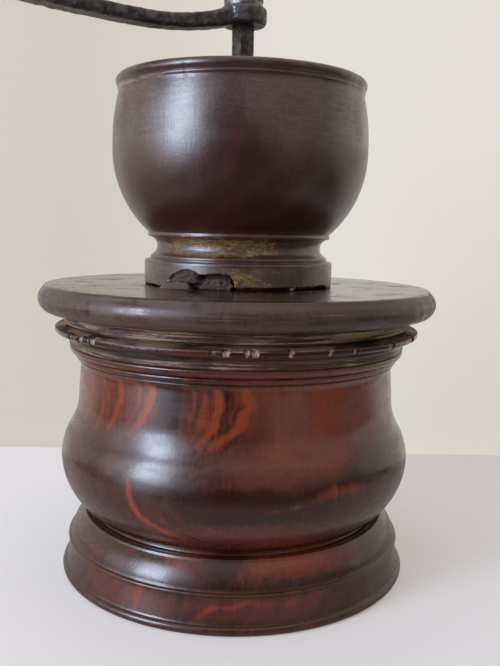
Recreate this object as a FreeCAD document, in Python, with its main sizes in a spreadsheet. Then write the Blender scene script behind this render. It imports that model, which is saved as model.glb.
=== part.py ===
import FreeCAD, Part
import math
import os
import PartDesign
import Sketcher
from FreeCAD import Vector

# A hand-cranked coffee mill, in three turned hardwood pieces: a bellied receiver on a moulded foot,
# a wide moulded head that lifts off it, and an open bowl that holds the beans. A forged crank turns
# an iron shaft, and a toothed cone on the shaft grinds inside a toothed ring fixed under the head.
# +Z is up, the origin is the middle of the foot on the table, and the crank points to -X.

doc = FreeCAD.newDocument("coffee_mill")

# Driving dimensions, in millimetres unless the name says otherwise
DIMENSIONS = {
    # mouldings that repeat
    "small_bead_height": 1.4,
    "small_bead_round": 0.4,
    "joint_chamfer": 0.4,
    "running_clearance": 0.05,
    "seat_clearance": 0.1,
    # receiver, from the table up
    "base_radius": 62.4,
    "foot_bead_height": 3.7,
    "foot_bead_round": 1.6,
    "plinth_setback": 2.9,
    "plinth_height": 7.9,
    "plinth_hollow": 0.35,
    "foot_round_setback": 1.2,
    "foot_round_run": 6.6,
    "foot_round_height": 9.1,
    "foot_round_bulge": 0.9,
    "belly_overhang": 1.9,
    "belly_swell": 8.8,
    "belly_lower_height": 18.2,
    "belly_lower_bulge": 2.45,
    "belly_upper_run": 2.65,
    "belly_upper_height": 10.0,
    "belly_upper_bulge": 0.67,
    "waist_run": 3.4,
    "waist_height": 10.5,
    "waist_hollow": 0.75,
    "barrel_taper": 0.75,
    "barrel_height": 11.2,
    "mouth_cove_run": 0.9,
    "mouth_cove_height": 1.8,
    "mouth_cove_hollow": 0.2,
    "mouth_fillet_height": 0.7,
    "mouth_bead_run": 1.1,
    "mouth_bead_height": 1.9,
    "mouth_bead_round": 0.45,
    "mouth_quirk": 0.5,
    "mouth_round_run": 1.3,
    "mouth_round_height": 2.4,
    "mouth_round_bulge": 0.4,
    "socket_wall": 9.4,
    "socket_depth": 9.0,
    "cavity_wall": 4.2,
    "cavity_corner": 8.0,
    "floor_thickness": 9.0,
    # head, from the joint with the receiver up
    "tenon_length": 8.0,
    "tenon_clearance": 0.1,
    "joint_band_height": 1.8,
    "joint_bead_run": 1.0,
    "joint_bead_height": 1.1,
    "flange_neck_height": 0.7,
    "flange_projection": 3.8,
    "flange_underside_rise": 0.6,
    "flange_chamfer": 0.6,
    "flange_edge_height": 1.4,
    "flange_top_run": 5.8,
    "flange_top_rise": 0.7,
    "under_cove_run": 2.0,
    "under_cove_height": 0.8,
    "under_cove_hollow": 0.4,
    "under_nose_run": 0.6,
    "under_nose_height": 1.0,
    "under_nose_round": 0.65,
    "under_fillet_height": 1.1,
    "under_fillet_taper": 0.3,
    "disc_step_run": 1.5,
    "disc_step_rise": 0.3,
    "disc_bead_run": 0.5,
    "disc_bead_height": 1.1,
    "disc_bead_round": 0.6,
    "disc_underside_run": 2.0,
    "disc_underside_rise": 0.2,
    "disc_edge_run": 3.5,
    "disc_edge_height": 8.0,
    "disc_edge_round": 3.45,
    "disc_lip_run": 1.5,
    "disc_lip_height": 1.2,
    "disc_lip_round": 0.3,
    # hopper bowl, from the top of the disc up
    "throat_radius": 18.0,
    "spigot_wall": 8.0,
    "spigot_length": 7.0,
    "collar_radius": 33.4,
    "collar_height": 8.0,
    "collar_round": 0.8,
    "neck_setback": 1.6,
    "neck_bead_height": 1.6,
    "scotia_height": 6.2,
    "scotia_flare": 0.5,
    "scotia_hollow": 2.25,
    "bowl_step": 1.4,
    "bowl_quirk_run": 1.6,
    "bowl_quirk_height": 0.7,
    "bowl_lower_run": 10.1,
    "bowl_lower_height": 28.9,
    "bowl_lower_bulge": 2.9,
    "bowl_upper_run": 2.1,
    "bowl_upper_height": 18.0,
    "bowl_upper_bulge": 0.6,
    "lip_height": 3.3,
    "lip_round": 1.0,
    "bowl_wall": 4.4,
    "rim_width": 2.8,
    "rim_inner_height": 3.8,
    "rim_inner_round": 0.3,
    "funnel_width": 9.0,
    "funnel_rise": 3.5,
    "funnel_bulge": 3.2,
    # upper bridge across the throat
    "bridge_width": 10.0,
    "bridge_thickness": 3.0,
    "bridge_sink": 1.6,
    "bridge_eye_wall": 2.15,
    "bridge_boss_height": 8.0,
    "bridge_screw_inset": 2.7,
    "bush_wall": 1.6,
    "bush_flange_width": 1.35,
    "bush_flange_height": 1.2,
    "wood_screw_radius": 1.6,
    "wood_screw_head_width": 1.6,
    "wood_screw_head_height": 1.7,
    "wood_screw_length": 11.0,
    # outer burr ring under the head
    "burr_ring_wall": 2.4,
    "burr_ring_gap": 0.5,
    "burr_flange_width": 9.9,
    "burr_flange_thickness": 3.0,
    "burr_bolt_setback": 4.9,
    "outer_mouth_tip": 17.0,
    "outer_mouth_tooth": 2.2,
    "outer_waist_tip": 14.1,
    "outer_waist_tooth": 1.3,
    "outer_foot_tip": 18.2,
    "outer_foot_tooth": 1.1,
    "outer_teeth": 30,
    # inner burr cone on the shaft
    "cone_lift": 4.5,
    "cone_grind_height": 11.5,
    "cone_crush_height": 10.5,
    "cone_foot_gap": 0.75,
    "cone_foot_tooth": 1.1,
    "cone_waist_gap": 0.6,
    "cone_waist_tooth": 1.3,
    "cone_hub_wall": 2.8,
    "cone_hub_flare": 2.0,
    "vane_top_height": 2.6,
    "cone_teeth": 24,
    "cone_vanes": 6,
    "cone_twist_degrees": 7.0,
    "vane_twist_degrees": 35.0,
    "cone_pin_radius": 1.25,
    "cone_pin_level": 17.5,
    # lower bridge, thrust cup and adjusting screw
    "lower_bridge_width": 11.0,
    "lower_bridge_thickness": 4.0,
    "lower_bridge_leg_height": 7.0,
    "lower_bridge_leg_thickness": 8.6,
    "bolt_radius": 2.0,
    "bolt_head_width": 6.6,
    "bolt_head_height": 2.8,
    "cup_wall": 1.95,
    "cup_floor": 1.5,
    "cup_wall_height": 1.5,
    "cup_rise": 2.2,
    "adjuster_radius": 4.0,
    "adjuster_spigot_radius": 1.5,
    "adjuster_spigot_height": 0.9,
    "adjuster_drop": 5.0,
    "wing_width": 19.0,
    "wing_thickness": 3.0,
    "wing_height": 10.0,
    # shaft
    "pivot_radius": 2.6,
    "pivot_length": 2.2,
    "square_width": 5.8,
    "square_corner_margin": 0.1,
    "square_length": 54.0,
    "stud_shoulder": 0.4,
    "stud_projection": 1.8,
    # crank
    "crank_clearance": 18.7,
    "crank_reach": 112.0,
    "crank_boss_wall": 4.0,
    "crank_boss_height": 6.2,
    "crank_boss_round": 1.6,
    "crank_width": 8.4,
    "crank_thickness": 4.5,
    "crank_root_reach": 5.0,
    "crank_root_drop": 0.6,
    "crank_root_setback": 0.2,
    "crank_dip": 5.2,
    "crank_dip_reach": 38.0,
    "crank_end_thickness": 5.6,
    "crank_end_rise": 5.0,
    "crank_edge_round": 1.6,
    "crank_eye_wall": 4.2,
    "crank_eye_drop": 1.2,
    "crank_eye_height": 6.8,
    "crank_eye_round": 0.4,
    "washer_thickness": 1.2,
    "crank_washer_setback": 1.6,
    "nut_wall": 2.4,
    "nut_height": 4.6,
    "nut_chamfer": 0.8,
    # handle
    "spindle_radius": 3.0,
    "rivet_head_width": 2.2,
    "rivet_head_height": 1.6,
    "knob_washer_width": 3.6,
    "knob_end_gap": 0.4,
    "knob_foot_radius": 8.6,
    "knob_foot_height": 3.0,
    "knob_foot_round": 0.8,
    "knob_waist_setback": 1.6,
    "knob_lower_height": 15.0,
    "knob_lower_run": 6.4,
    "knob_lower_hollow": 1.6,
    "knob_upper_height": 15.0,
    "knob_upper_run": 6.6,
    "knob_upper_bulge": 3.2,
}

sheet = doc.addObject("Spreadsheet::Sheet", "Sizes")
for row, (name, number) in enumerate(DIMENSIONS.items(), start=1):
    sheet.set(f"A{row}", name)
    sheet.set(f"B{row}", str(number))
    sheet.setAlias(f"B{row}", name)
doc.recompute()


class Size:
    """A length known both as a number and as the formula on the sheet that gives it."""

    def __init__(self, number, formula):
        self.number = float(number)
        self.formula = formula

    def __add__(self, other):
        other = as_size(other)
        return Size(self.number + other.number, f"({self.formula} + {other.formula})")

    def __sub__(self, other):
        other = as_size(other)
        return Size(self.number - other.number, f"({self.formula} - {other.formula})")

    def __mul__(self, factor):
        factor = as_size(factor)
        return Size(self.number * factor.number, f"({self.formula} * {factor.formula})")

    def __truediv__(self, divisor):
        divisor = as_size(divisor)
        return Size(self.number / divisor.number, f"({self.formula} / {divisor.formula})")

    def __neg__(self):
        return Size(-self.number, f"(-{self.formula})")


def as_size(value):
    return value if isinstance(value, Size) else Size(value, repr(float(value)))


def square_root(size):
    return Size(math.sqrt(size.number), f"sqrt({size.formula})")


class Cells:
    """Every named dimension of the sheet, as an attribute."""

    def __getattr__(self, name):
        return Size(DIMENSIONS[name], f"Sizes.{name}")


s = Cells()
ZERO = as_size(0)
# how far the middle of a quarter circle stands off its chord's middle, along each axis, per radius
QUARTER_BULGE = math.sqrt(0.5) - 0.5


# Drawing and building helpers


class Outline:
    """A closed outline walked corner by corner, by straight edges and arcs."""

    def __init__(self, x, y):
        self.x = as_size(x)
        self.y = as_size(y)
        self.start = (self.x, self.y)
        self.edges = []

    def to(self, x, y):
        self.x = as_size(x)
        self.y = as_size(y)
        self.edges.append((None, (self.x, self.y)))
        return self

    def step(self, out, up):
        return self.to(self.x + out, self.y + up)

    def arc_to(self, via, end):
        """An arc through the point via, to the corner end."""
        via = tuple(as_size(value) for value in via)
        self.x, self.y = (as_size(value) for value in end)
        self.edges.append((via, (self.x, self.y)))
        return self

    def sweep_to(self, x, y, level_here):
        """A shallow arc to a higher or lower corner, running level here or where it arrives."""
        here = (self.x, self.y)
        end = (as_size(x), as_size(y))
        flat, free = (here, end) if level_here else (end, here)
        run = free[0] - flat[0]
        rise = free[1] - flat[1]
        radius = (run * run + rise * rise) / (rise * 2)
        sagitta = radius - square_root(radius * radius - run * run / 4)
        return self.arc_to((flat[0] + run / 2, flat[1] + sagitta), end)

    def round(self, out, up, bulge_out=0, bulge_up=0):
        """An arc whose middle stands off the middle of its chord by the two bulges."""
        middle = (self.x + as_size(out) / 2 + bulge_out, self.y + as_size(up) / 2 + bulge_up)
        return self.arc_to(middle, (self.x + out, self.y + up))


def point(place):
    return Vector(place[0].number, place[1].number, 0)


def pin_point(sketch, geometry, vertex, place):
    """Hold one point of a sketch at a place that the sheet's formulas give."""
    for kind, size, axis in (("DistanceX", place[0], -2), ("DistanceY", place[1], -1)):
        if abs(size.number) < 1e-9:
            sketch.addConstraint(Sketcher.Constraint("PointOnObject", geometry, vertex, axis))
        elif size.number > 0:
            index = sketch.addConstraint(Sketcher.Constraint(kind, -1, 1, geometry, vertex, size.number))
            sketch.setExpression(f"Constraints[{index}]", size.formula)
        else:
            index = sketch.addConstraint(Sketcher.Constraint(kind, geometry, vertex, -1, 1, -size.number))
            sketch.setExpression(f"Constraints[{index}]", (-size).formula)


def draw(sketch, outline):
    """Put a closed outline into a sketch, every corner pinned to the sheet."""
    corner = outline.start
    edges = list(outline.edges)
    if (point(edges[-1][1]) - point(outline.start)).Length > 1e-9:
        edges.append((None, outline.start))
    drawn = []
    for via, end in edges:
        first, last = 1, 2
        if via is None:
            edge = Part.LineSegment(point(corner), point(end))
        elif (point(via) - point(corner)).cross(point(end) - point(via)).z > 0:
            edge = Part.Arc(point(corner), point(via), point(end))
        else:
            edge = Part.Arc(point(end), point(via), point(corner))
            first, last = 2, 1
        index = sketch.addGeometry(edge, False)
        drawn.append((index, first, last, corner, via))
        corner = end
    for number, (index, first, last, corner, via) in enumerate(drawn):
        following = drawn[(number + 1) % len(drawn)]
        sketch.addConstraint(Sketcher.Constraint("Coincident", index, last, following[0], following[1]))
        pin_point(sketch, index, first, corner)
        if via is not None:
            middle = sketch.addGeometry(Part.Point(point(via)), True)
            sketch.addConstraint(Sketcher.Constraint("PointOnObject", middle, 1, index))
            pin_point(sketch, middle, 1, via)


def circle_in(sketch, centre, radius):
    index = sketch.addGeometry(Part.Circle(point(centre), Vector(0, 0, 1), radius.number), False)
    pin_point(sketch, index, 3, centre)
    constraint = sketch.addConstraint(Sketcher.Constraint("Radius", index, radius.number))
    sketch.setExpression(f"Constraints[{constraint}]", radius.formula)


def rectangle(half_x, half_y):
    return Outline(-half_x, -half_y).to(half_x, -half_y).to(half_x, half_y).to(-half_x, half_y)


def bind(item, name, size):
    item.setExpression(name, as_size(size).formula)


def new_body(label, level=ZERO, x=ZERO):
    """A body whose own origin stands at x and at the given level."""
    body = doc.addObject("PartDesign::Body", label)
    body.Label = label
    bind(body, "Placement.Base.x", x)
    bind(body, "Placement.Base.z", level)
    return body


def new_sketch(body, name, role, offset=None):
    """A sketch on one of the body's origin planes, lifted off it by offset."""
    sketch = body.newObject("Sketcher::SketchObject", name)
    plane = next(item for item in body.Origin.OriginFeatures if item.Role == role)
    sketch.AttachmentSupport = (plane, [""])
    sketch.MapMode = "FlatFace"
    if offset is not None:
        bind(sketch, "AttachmentOffset.Base.z", offset)
    return sketch


def turn(body, name, outline, groove=False):
    """Revolve an outline of radii and heights about the body's upright axis."""
    sketch = new_sketch(body, name + "_outline", "XZ_Plane")
    draw(sketch, outline)
    feature = body.newObject("PartDesign::Groove" if groove else "PartDesign::Revolution", name)
    feature.Profile = sketch
    feature.ReferenceAxis = (sketch, ["V_Axis"])
    feature.Angle = 360
    doc.recompute()
    return feature


def pad(body, name, sketch, length, midplane=False):
    feature = body.newObject("PartDesign::Pad", name)
    feature.Profile = sketch
    bind(feature, "Length", length)
    feature.Midplane = midplane
    doc.recompute()
    return feature


def pocket(body, name, sketch, length, upward=False):
    """Cut downwards from the sketch's plane, or upwards."""
    feature = body.newObject("PartDesign::Pocket", name)
    feature.Profile = sketch
    bind(feature, "Length", length)
    feature.Reversed = upward
    doc.recompute()
    return feature


def soften(body, name, edges, radius):
    """Round the named edges of the body's last feature."""
    base = body.Tip
    feature = body.newObject("PartDesign::Fillet", name)
    feature.Base = (base, edges)
    bind(feature, "Radius", radius)
    doc.recompute()
    return feature


def edges_where(body, test):
    """Names of the edges of the body's last feature that pass a test."""
    return [f"Edge{number}" for number, edge in enumerate(body.Tip.Shape.Edges, start=1) if test(edge)]


def star(body, name, level, tip, root, points, turned):
    """A toothed ring of straight flanks, in a sketch at the given level."""
    sketch = new_sketch(body, name, "XY_Plane", level)
    corners = []
    for number in range(2 * points):
        angle = turned + number * 180.0 / points
        radius = tip if number % 2 == 0 else root
        corners.append((radius * math.cos(math.radians(angle)), radius * math.sin(math.radians(angle))))
    outline = Outline(*corners[0])
    for corner in corners[1:]:
        outline.to(*corner)
    draw(sketch, outline)
    return sketch


def loft(body, name, low, high, cut=False):
    feature = body.newObject("PartDesign::SubtractiveLoft" if cut else "PartDesign::AdditiveLoft", name)
    feature.Profile = low
    feature.Sections = [high]
    feature.Ruled = True
    doc.recompute()
    return feature


# Levels and radii that more than one piece shares

joint_level = (
    s.foot_bead_height + s.plinth_height + s.small_bead_height + s.foot_round_height
    + s.small_bead_height + s.belly_lower_height + s.belly_upper_height + s.waist_height
    + s.barrel_height + s.mouth_cove_height + s.mouth_fillet_height + s.mouth_bead_height
    + s.mouth_round_height + s.joint_chamfer
)
mouth_radius = (
    s.base_radius - s.plinth_setback - s.foot_round_setback - s.foot_round_run + s.belly_overhang
    + s.belly_swell - s.belly_upper_run - s.waist_run - s.barrel_taper + s.mouth_cove_run
    + s.mouth_bead_run + s.mouth_quirk + s.mouth_round_run
)
head_height = (
    s.joint_chamfer + s.joint_band_height + s.joint_bead_height + s.flange_neck_height
    + s.flange_underside_rise + s.flange_chamfer + s.flange_edge_height + s.flange_top_rise
    + s.under_cove_height + s.under_nose_height + s.under_fillet_height + s.disc_step_rise
    + s.disc_bead_height + s.disc_underside_rise + s.disc_edge_height + s.disc_lip_height
)
disc_level = joint_level + head_height
socket_radius = mouth_radius - s.socket_wall
cavity_radius = s.base_radius - s.plinth_setback - s.foot_round_setback - s.foot_round_run - s.cavity_wall
spigot_radius = s.throat_radius + s.spigot_wall
funnel_radius = s.throat_radius + s.funnel_width
bridge_half_length = funnel_radius
bridge_screw_reach = bridge_half_length - s.bridge_screw_inset
journal_radius = s.square_width * math.sqrt(0.5) + s.square_corner_margin
bush_radius = journal_radius + s.running_clearance + s.bush_wall
stud_radius = s.square_width / 2 - s.stud_shoulder
cone_hub_radius = journal_radius + s.cone_hub_wall
burr_ring_radius = s.outer_mouth_tip + s.outer_mouth_tooth + s.burr_ring_wall
burr_flange_radius = burr_ring_radius + s.burr_flange_width
burr_bolt_reach = burr_flange_radius - s.burr_bolt_setback
crank_boss_radius = journal_radius + s.crank_boss_wall
crank_eye_radius = s.spindle_radius + s.crank_eye_wall
wood_screw_head_radius = s.wood_screw_radius + s.wood_screw_head_width
rivet_head_radius = s.spindle_radius + s.rivet_head_width
bowl_height = (
    s.collar_height + s.collar_round + s.neck_bead_height + s.scotia_height + s.small_bead_height
    + s.bowl_quirk_height + s.bowl_lower_height + s.bowl_upper_height + s.small_bead_height + s.lip_height
)
rim_level = disc_level + bowl_height
tenon_level = joint_level - s.tenon_length
burr_flange_level = tenon_level - s.burr_flange_thickness
funnel_level = (
    disc_level + s.collar_height + s.collar_round + s.neck_bead_height + s.scotia_height
    + s.small_bead_height + s.bowl_quirk_height + s.funnel_rise
)
bridge_level = funnel_level - s.bridge_sink
lower_bridge_level = burr_flange_level - s.lower_bridge_leg_height - s.lower_bridge_thickness
cup_level = lower_bridge_level + s.lower_bridge_thickness + s.cup_rise
pivot_level = cup_level + s.cup_floor
cone_level = pivot_level + s.cone_lift
crank_level = rim_level + s.crank_clearance
eye_level = crank_level - s.crank_eye_drop
BRIDGE_SCREW_SIDES = (-1, 1)
BURR_SCREW_ANGLES = (45.0, 135.0, 225.0, 315.0)


def burr_screw_places():
    """Centres of the four wood screws that hold the outer burr's flange."""
    reach = burr_bolt_reach
    return [
        (reach * math.cos(math.radians(angle)), reach * math.sin(math.radians(angle)))
        for angle in BURR_SCREW_ANGLES
    ]


# Turned wood


def receiver_barrel():
    """The bellied cup that stands on the table and catches the ground coffee."""
    body = new_body("receiver_barrel")
    line = Outline(0, 0)
    line.to(s.base_radius - s.foot_bead_round, 0)
    line.round(0, s.foot_bead_height, s.foot_bead_round)
    line.to(s.base_radius - s.plinth_setback, s.foot_bead_height)
    line.round(0, s.plinth_height, -s.plinth_hollow)
    line.round(0, s.small_bead_height, s.small_bead_round)
    line.step(-s.foot_round_setback, 0)
    line.round(-s.foot_round_run, s.foot_round_height, s.foot_round_bulge)
    line.round(0, s.small_bead_height, s.small_bead_round)
    line.step(s.belly_overhang, 0)
    line.round(s.belly_swell, s.belly_lower_height, s.belly_lower_bulge)
    line.round(-s.belly_upper_run, s.belly_upper_height, s.belly_upper_bulge)
    line.round(-s.waist_run, s.waist_height, -s.waist_hollow)
    line.step(-s.barrel_taper, s.barrel_height)
    line.round(s.mouth_cove_run, s.mouth_cove_height, -s.mouth_cove_hollow)
    line.step(0, s.mouth_fillet_height)
    line.round(s.mouth_bead_run, s.mouth_bead_height, s.mouth_bead_round)
    line.step(s.mouth_quirk, 0)
    line.round(s.mouth_round_run, s.mouth_round_height, s.mouth_round_bulge)
    line.step(-s.joint_chamfer, s.joint_chamfer)
    # the inside: a socket for the head's tenon, then the cavity with a rounded corner
    line.to(socket_radius, joint_level)
    line.step(0, -s.socket_depth)
    line.to(cavity_radius, joint_level - s.socket_depth)
    line.to(cavity_radius, s.floor_thickness + s.cavity_corner)
    corner_bulge = s.cavity_corner * QUARTER_BULGE
    line.round(-s.cavity_corner, -s.cavity_corner, corner_bulge, -corner_bulge)
    line.to(0, s.floor_thickness)
    turn(body, "Turned", line)
    return body


def mill_head():
    """The wide moulded disc, with the tenon that drops into the receiver and a bore for the burr."""
    body = new_body("mill_head", joint_level)
    line = Outline(mouth_radius - s.joint_chamfer, 0)
    line.step(s.joint_chamfer, s.joint_chamfer)
    line.step(0, s.joint_band_height)
    line.round(s.joint_bead_run, s.joint_bead_height, s.small_bead_round)
    line.step(0, s.flange_neck_height)
    line.step(s.flange_projection - s.flange_chamfer, s.flange_underside_rise)
    line.step(s.flange_chamfer, s.flange_chamfer)
    line.step(0, s.flange_edge_height)
    line.step(-s.flange_top_run, s.flange_top_rise)
    line.round(s.under_cove_run, s.under_cove_height, -s.under_cove_hollow, s.under_cove_hollow)
    line.round(s.under_nose_run, s.under_nose_height, s.under_nose_round)
    line.step(-s.under_fillet_taper, s.under_fillet_height)
    line.step(s.disc_step_run, s.disc_step_rise)
    line.round(s.disc_bead_run, s.disc_bead_height, s.disc_bead_round)
    line.step(s.disc_underside_run, s.disc_underside_rise)
    line.round(s.disc_edge_run, s.disc_edge_height, s.disc_edge_round)
    line.round(-s.disc_lip_run, s.disc_lip_height, s.disc_lip_round, s.disc_lip_round)
    # the top: a round recess that takes the hopper's spigot, above the bore for the burr ring
    line.to(spigot_radius + s.seat_clearance, head_height)
    line.step(0, -(s.spigot_length + s.seat_clearance))
    line.to(burr_ring_radius + s.seat_clearance, head_height - s.spigot_length - s.seat_clearance)
    line.to(burr_ring_radius + s.seat_clearance, -s.tenon_length)
    line.to(socket_radius - s.tenon_clearance - s.joint_chamfer, -s.tenon_length)
    line.step(s.joint_chamfer, s.joint_chamfer)
    line.to(socket_radius - s.tenon_clearance, 0)
    turn(body, "Turned", line)
    holes = new_sketch(body, "Screw_holes_plan", "XY_Plane", -s.tenon_length)
    for place in burr_screw_places():
        circle_in(holes, place, s.wood_screw_radius)
    pocket(body, "Screw_holes", holes, s.wood_screw_length, upward=True)
    return body


def hopper_bowl():
    """The open bowl with its neck and collar, bored through for the beans to fall."""
    body = new_body("hopper_bowl", disc_level)
    line = Outline(s.collar_radius - s.joint_chamfer, 0)
    line.step(s.joint_chamfer, s.joint_chamfer)
    line.to(s.collar_radius, s.collar_height)
    collar_bulge = s.collar_round * QUARTER_BULGE
    line.round(-s.collar_round, s.collar_round, collar_bulge, collar_bulge)
    line.step(-s.neck_setback, 0)
    line.round(0, s.neck_bead_height, s.small_bead_round)
    line.round(s.scotia_flare, s.scotia_height, -s.scotia_hollow)
    line.step(s.bowl_step, 0)
    line.round(0, s.small_bead_height, s.small_bead_round)
    line.step(s.bowl_quirk_run, s.bowl_quirk_height)
    line.round(s.bowl_lower_run, s.bowl_lower_height, s.bowl_lower_bulge)
    belly = (line.x, line.y)
    line.round(-s.bowl_upper_run, s.bowl_upper_height, s.bowl_upper_bulge)
    line.round(0, s.small_bead_height, s.small_bead_round)
    line.round(0, s.lip_height, s.lip_round)
    # the inside: rim, wall, funnel and throat, then the spigot that sits in the head
    line.step(-s.rim_width, 0)
    line.round(0, -s.rim_inner_height, -s.rim_inner_round)
    line.to(belly[0] - s.bowl_wall, belly[1])
    funnel_top = funnel_level - disc_level
    middle = ((line.x + funnel_radius) / 2 + s.funnel_bulge, (line.y + funnel_top) / 2)
    line.arc_to(middle, (funnel_radius, funnel_top))
    line.to(s.throat_radius, funnel_top - s.funnel_rise)
    line.to(s.throat_radius, -s.spigot_length)
    line.to(spigot_radius, -s.spigot_length)
    line.to(spigot_radius, 0)
    turn(body, "Turned", line)
    # a straight seat across the funnel for the bridge, and a pilot hole for each of its screws
    seat_level = bridge_level - disc_level
    seat = new_sketch(body, "Bridge_seat_plan", "XY_Plane", seat_level)
    draw(seat, rectangle(s.bridge_width / 2 + s.seat_clearance, bridge_half_length + s.seat_clearance))
    pocket(body, "Bridge_seat", seat, s.bridge_thickness + s.bridge_sink, upward=True)
    holes = new_sketch(body, "Screw_holes_plan", "XY_Plane", seat_level)
    for side in BRIDGE_SCREW_SIDES:
        circle_in(holes, (ZERO, bridge_screw_reach * side), s.wood_screw_radius)
    pocket(body, "Screw_holes", holes, s.wood_screw_length - s.bridge_thickness)
    return body


def handle_knob():
    """The turned knob that spins on its iron spindle."""
    body = new_body("handle_knob", knob_level(), -s.crank_reach)
    bore = s.spindle_radius + s.running_clearance
    line = Outline(bore, 0)
    line.to(s.knob_foot_radius, 0)
    line.round(0, s.knob_foot_height, s.knob_foot_round)
    line.step(-s.knob_waist_setback, 0)
    line.round(s.knob_lower_run, s.knob_lower_height, -s.knob_lower_hollow)
    line.round(-s.knob_upper_run, s.knob_upper_height, s.knob_upper_bulge)
    line.to(bore, knob_height())
    turn(body, "Turned", line)
    return body


def knob_level():
    return eye_level + s.crank_eye_height + s.washer_thickness


def knob_height():
    return s.knob_foot_height + s.knob_lower_height + s.knob_upper_height


# Ironwork of the hopper's throat


def upper_bridge():
    """The iron strap across the throat, with the eye that steadies the shaft."""
    body = new_body("upper_bridge", bridge_level)
    plan = new_sketch(body, "Strap_plan", "XY_Plane")
    draw(plan, rectangle(s.bridge_width / 2, bridge_half_length))
    pad(body, "Strap", plan, s.bridge_thickness)
    eye = new_sketch(body, "Eye_plan", "XY_Plane", (s.bridge_thickness - s.bridge_boss_height) / 2)
    circle_in(eye, (ZERO, ZERO), bush_radius + s.bridge_eye_wall)
    pad(body, "Eye", eye, s.bridge_boss_height)
    bore = new_sketch(body, "Bore_plan", "XY_Plane", (s.bridge_thickness + s.bridge_boss_height) / 2)
    circle_in(bore, (ZERO, ZERO), bush_radius)
    pocket(body, "Bore", bore, s.bridge_boss_height)
    holes = new_sketch(body, "Screw_holes_plan", "XY_Plane", s.bridge_thickness)
    for side in BRIDGE_SCREW_SIDES:
        circle_in(holes, (ZERO, bridge_screw_reach * side), s.wood_screw_radius)
    pocket(body, "Screw_holes", holes, s.bridge_thickness)
    return body


def upper_bush():
    """The flanged brass sleeve that the shaft runs in."""
    foot = bridge_level + (s.bridge_thickness - s.bridge_boss_height) / 2
    body = new_body("upper_bush", foot)
    bore = journal_radius + s.running_clearance
    line = Outline(bore, 0)
    line.to(bush_radius, 0)
    line.to(bush_radius, s.bridge_boss_height)
    line.to(bush_radius + s.bush_flange_width, s.bridge_boss_height)
    line.step(0, s.bush_flange_height)
    line.to(bore, s.bridge_boss_height + s.bush_flange_height)
    turn(body, "Turned", line)
    return body


def wood_screw(name, head_down):
    """A domed wood screw on the Z axis, its head's flat on Z 0 and its shank away from the head."""
    head = doc.addObject("Part::Cylinder", name + "_head")
    bind(head, "Radius", wood_screw_head_radius)
    bind(head, "Height", s.wood_screw_head_height)
    shank = doc.addObject("Part::Cylinder", name + "_shank")
    bind(shank, "Radius", s.wood_screw_radius)
    bind(shank, "Height", s.wood_screw_length)
    slot = doc.addObject("Part::Box", name + "_slot")
    bind(slot, "Length", wood_screw_head_radius * 2)
    bind(slot, "Width", s.wood_screw_head_height / 2)
    bind(slot, "Height", s.wood_screw_head_height / 2)
    bind(slot, "Placement.Base.x", -wood_screw_head_radius)
    bind(slot, "Placement.Base.y", -(s.wood_screw_head_height / 4))
    if head_down:
        bind(head, "Placement.Base.z", -s.wood_screw_head_height)
        bind(slot, "Placement.Base.z", -s.wood_screw_head_height)
    else:
        bind(shank, "Placement.Base.z", -s.wood_screw_length)
        bind(slot, "Placement.Base.z", s.wood_screw_head_height / 2)
    slotted = doc.addObject("Part::Cut", name + "_slotted_head")
    slotted.Base = head
    slotted.Tool = slot
    screw = doc.addObject("Part::Fuse", name)
    screw.Base = slotted
    screw.Tool = shank
    return screw


def screw_group(label, places, level, head_down):
    """Identical wood screws at several places, kept as one group of separate solids."""
    screws = []
    for number, (x, y) in enumerate(places):
        screw = wood_screw(f"{label}_{number + 1}", head_down)
        bind(screw, "Placement.Base.x", x)
        bind(screw, "Placement.Base.y", y)
        screws.append(screw)
    group = doc.addObject("Part::Compound", label)
    group.Label = label
    group.Links = screws
    bind(group, "Placement.Base.z", level)
    doc.recompute()
    return group


def upper_bridge_screws():
    places = [(ZERO, bridge_screw_reach * side) for side in BRIDGE_SCREW_SIDES]
    return screw_group("upper_bridge_screws", places, bridge_level + s.bridge_thickness, head_down=False)


def outer_burr_screws():
    return screw_group("outer_burr_screws", burr_screw_places(), burr_flange_level, head_down=True)


# Burrs


def ring_length():
    return s.tenon_length + head_height - s.spigot_length - s.seat_clearance - s.burr_ring_gap


def outer_burr():
    """The toothed iron ring, let into the head from below and held by its flange."""
    body = new_body("outer_burr", burr_flange_level)
    top = s.burr_flange_thickness + ring_length()
    line = Outline(0, 0)
    line.to(burr_flange_radius, 0)
    line.to(burr_flange_radius, s.burr_flange_thickness)
    line.to(burr_ring_radius, s.burr_flange_thickness)
    line.to(burr_ring_radius, top)
    line.to(0, top)
    turn(body, "Blank", line)
    waist_level = cone_level + s.cone_grind_height - burr_flange_level
    teeth = DIMENSIONS["outer_teeth"]
    foot = star(body, "Foot_teeth", ZERO, s.outer_foot_tip + s.outer_foot_tooth, s.outer_foot_tip, teeth, 0.0)
    waist = star(body, "Waist_teeth", waist_level, s.outer_waist_tip + s.outer_waist_tooth, s.outer_waist_tip, teeth, 0.0)
    loft(body, "Grinding_bore", foot, waist, cut=True)
    low = star(body, "Throat_teeth", waist_level, s.outer_waist_tip + s.outer_waist_tooth, s.outer_waist_tip, teeth, 0.0)
    mouth = star(body, "Mouth_teeth", top, s.outer_mouth_tip + s.outer_mouth_tooth, s.outer_mouth_tip, teeth, 0.0)
    loft(body, "Crushing_bore", low, mouth, cut=True)
    holes = new_sketch(body, "Flange_holes_plan", "XY_Plane")
    for place in burr_screw_places():
        circle_in(holes, place, s.wood_screw_radius)
    for side in BRIDGE_SCREW_SIDES:
        circle_in(holes, (burr_bolt_reach * side, ZERO), s.bolt_radius)
    pocket(body, "Flange_holes", holes, s.burr_flange_thickness, upward=True)
    return body


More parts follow.
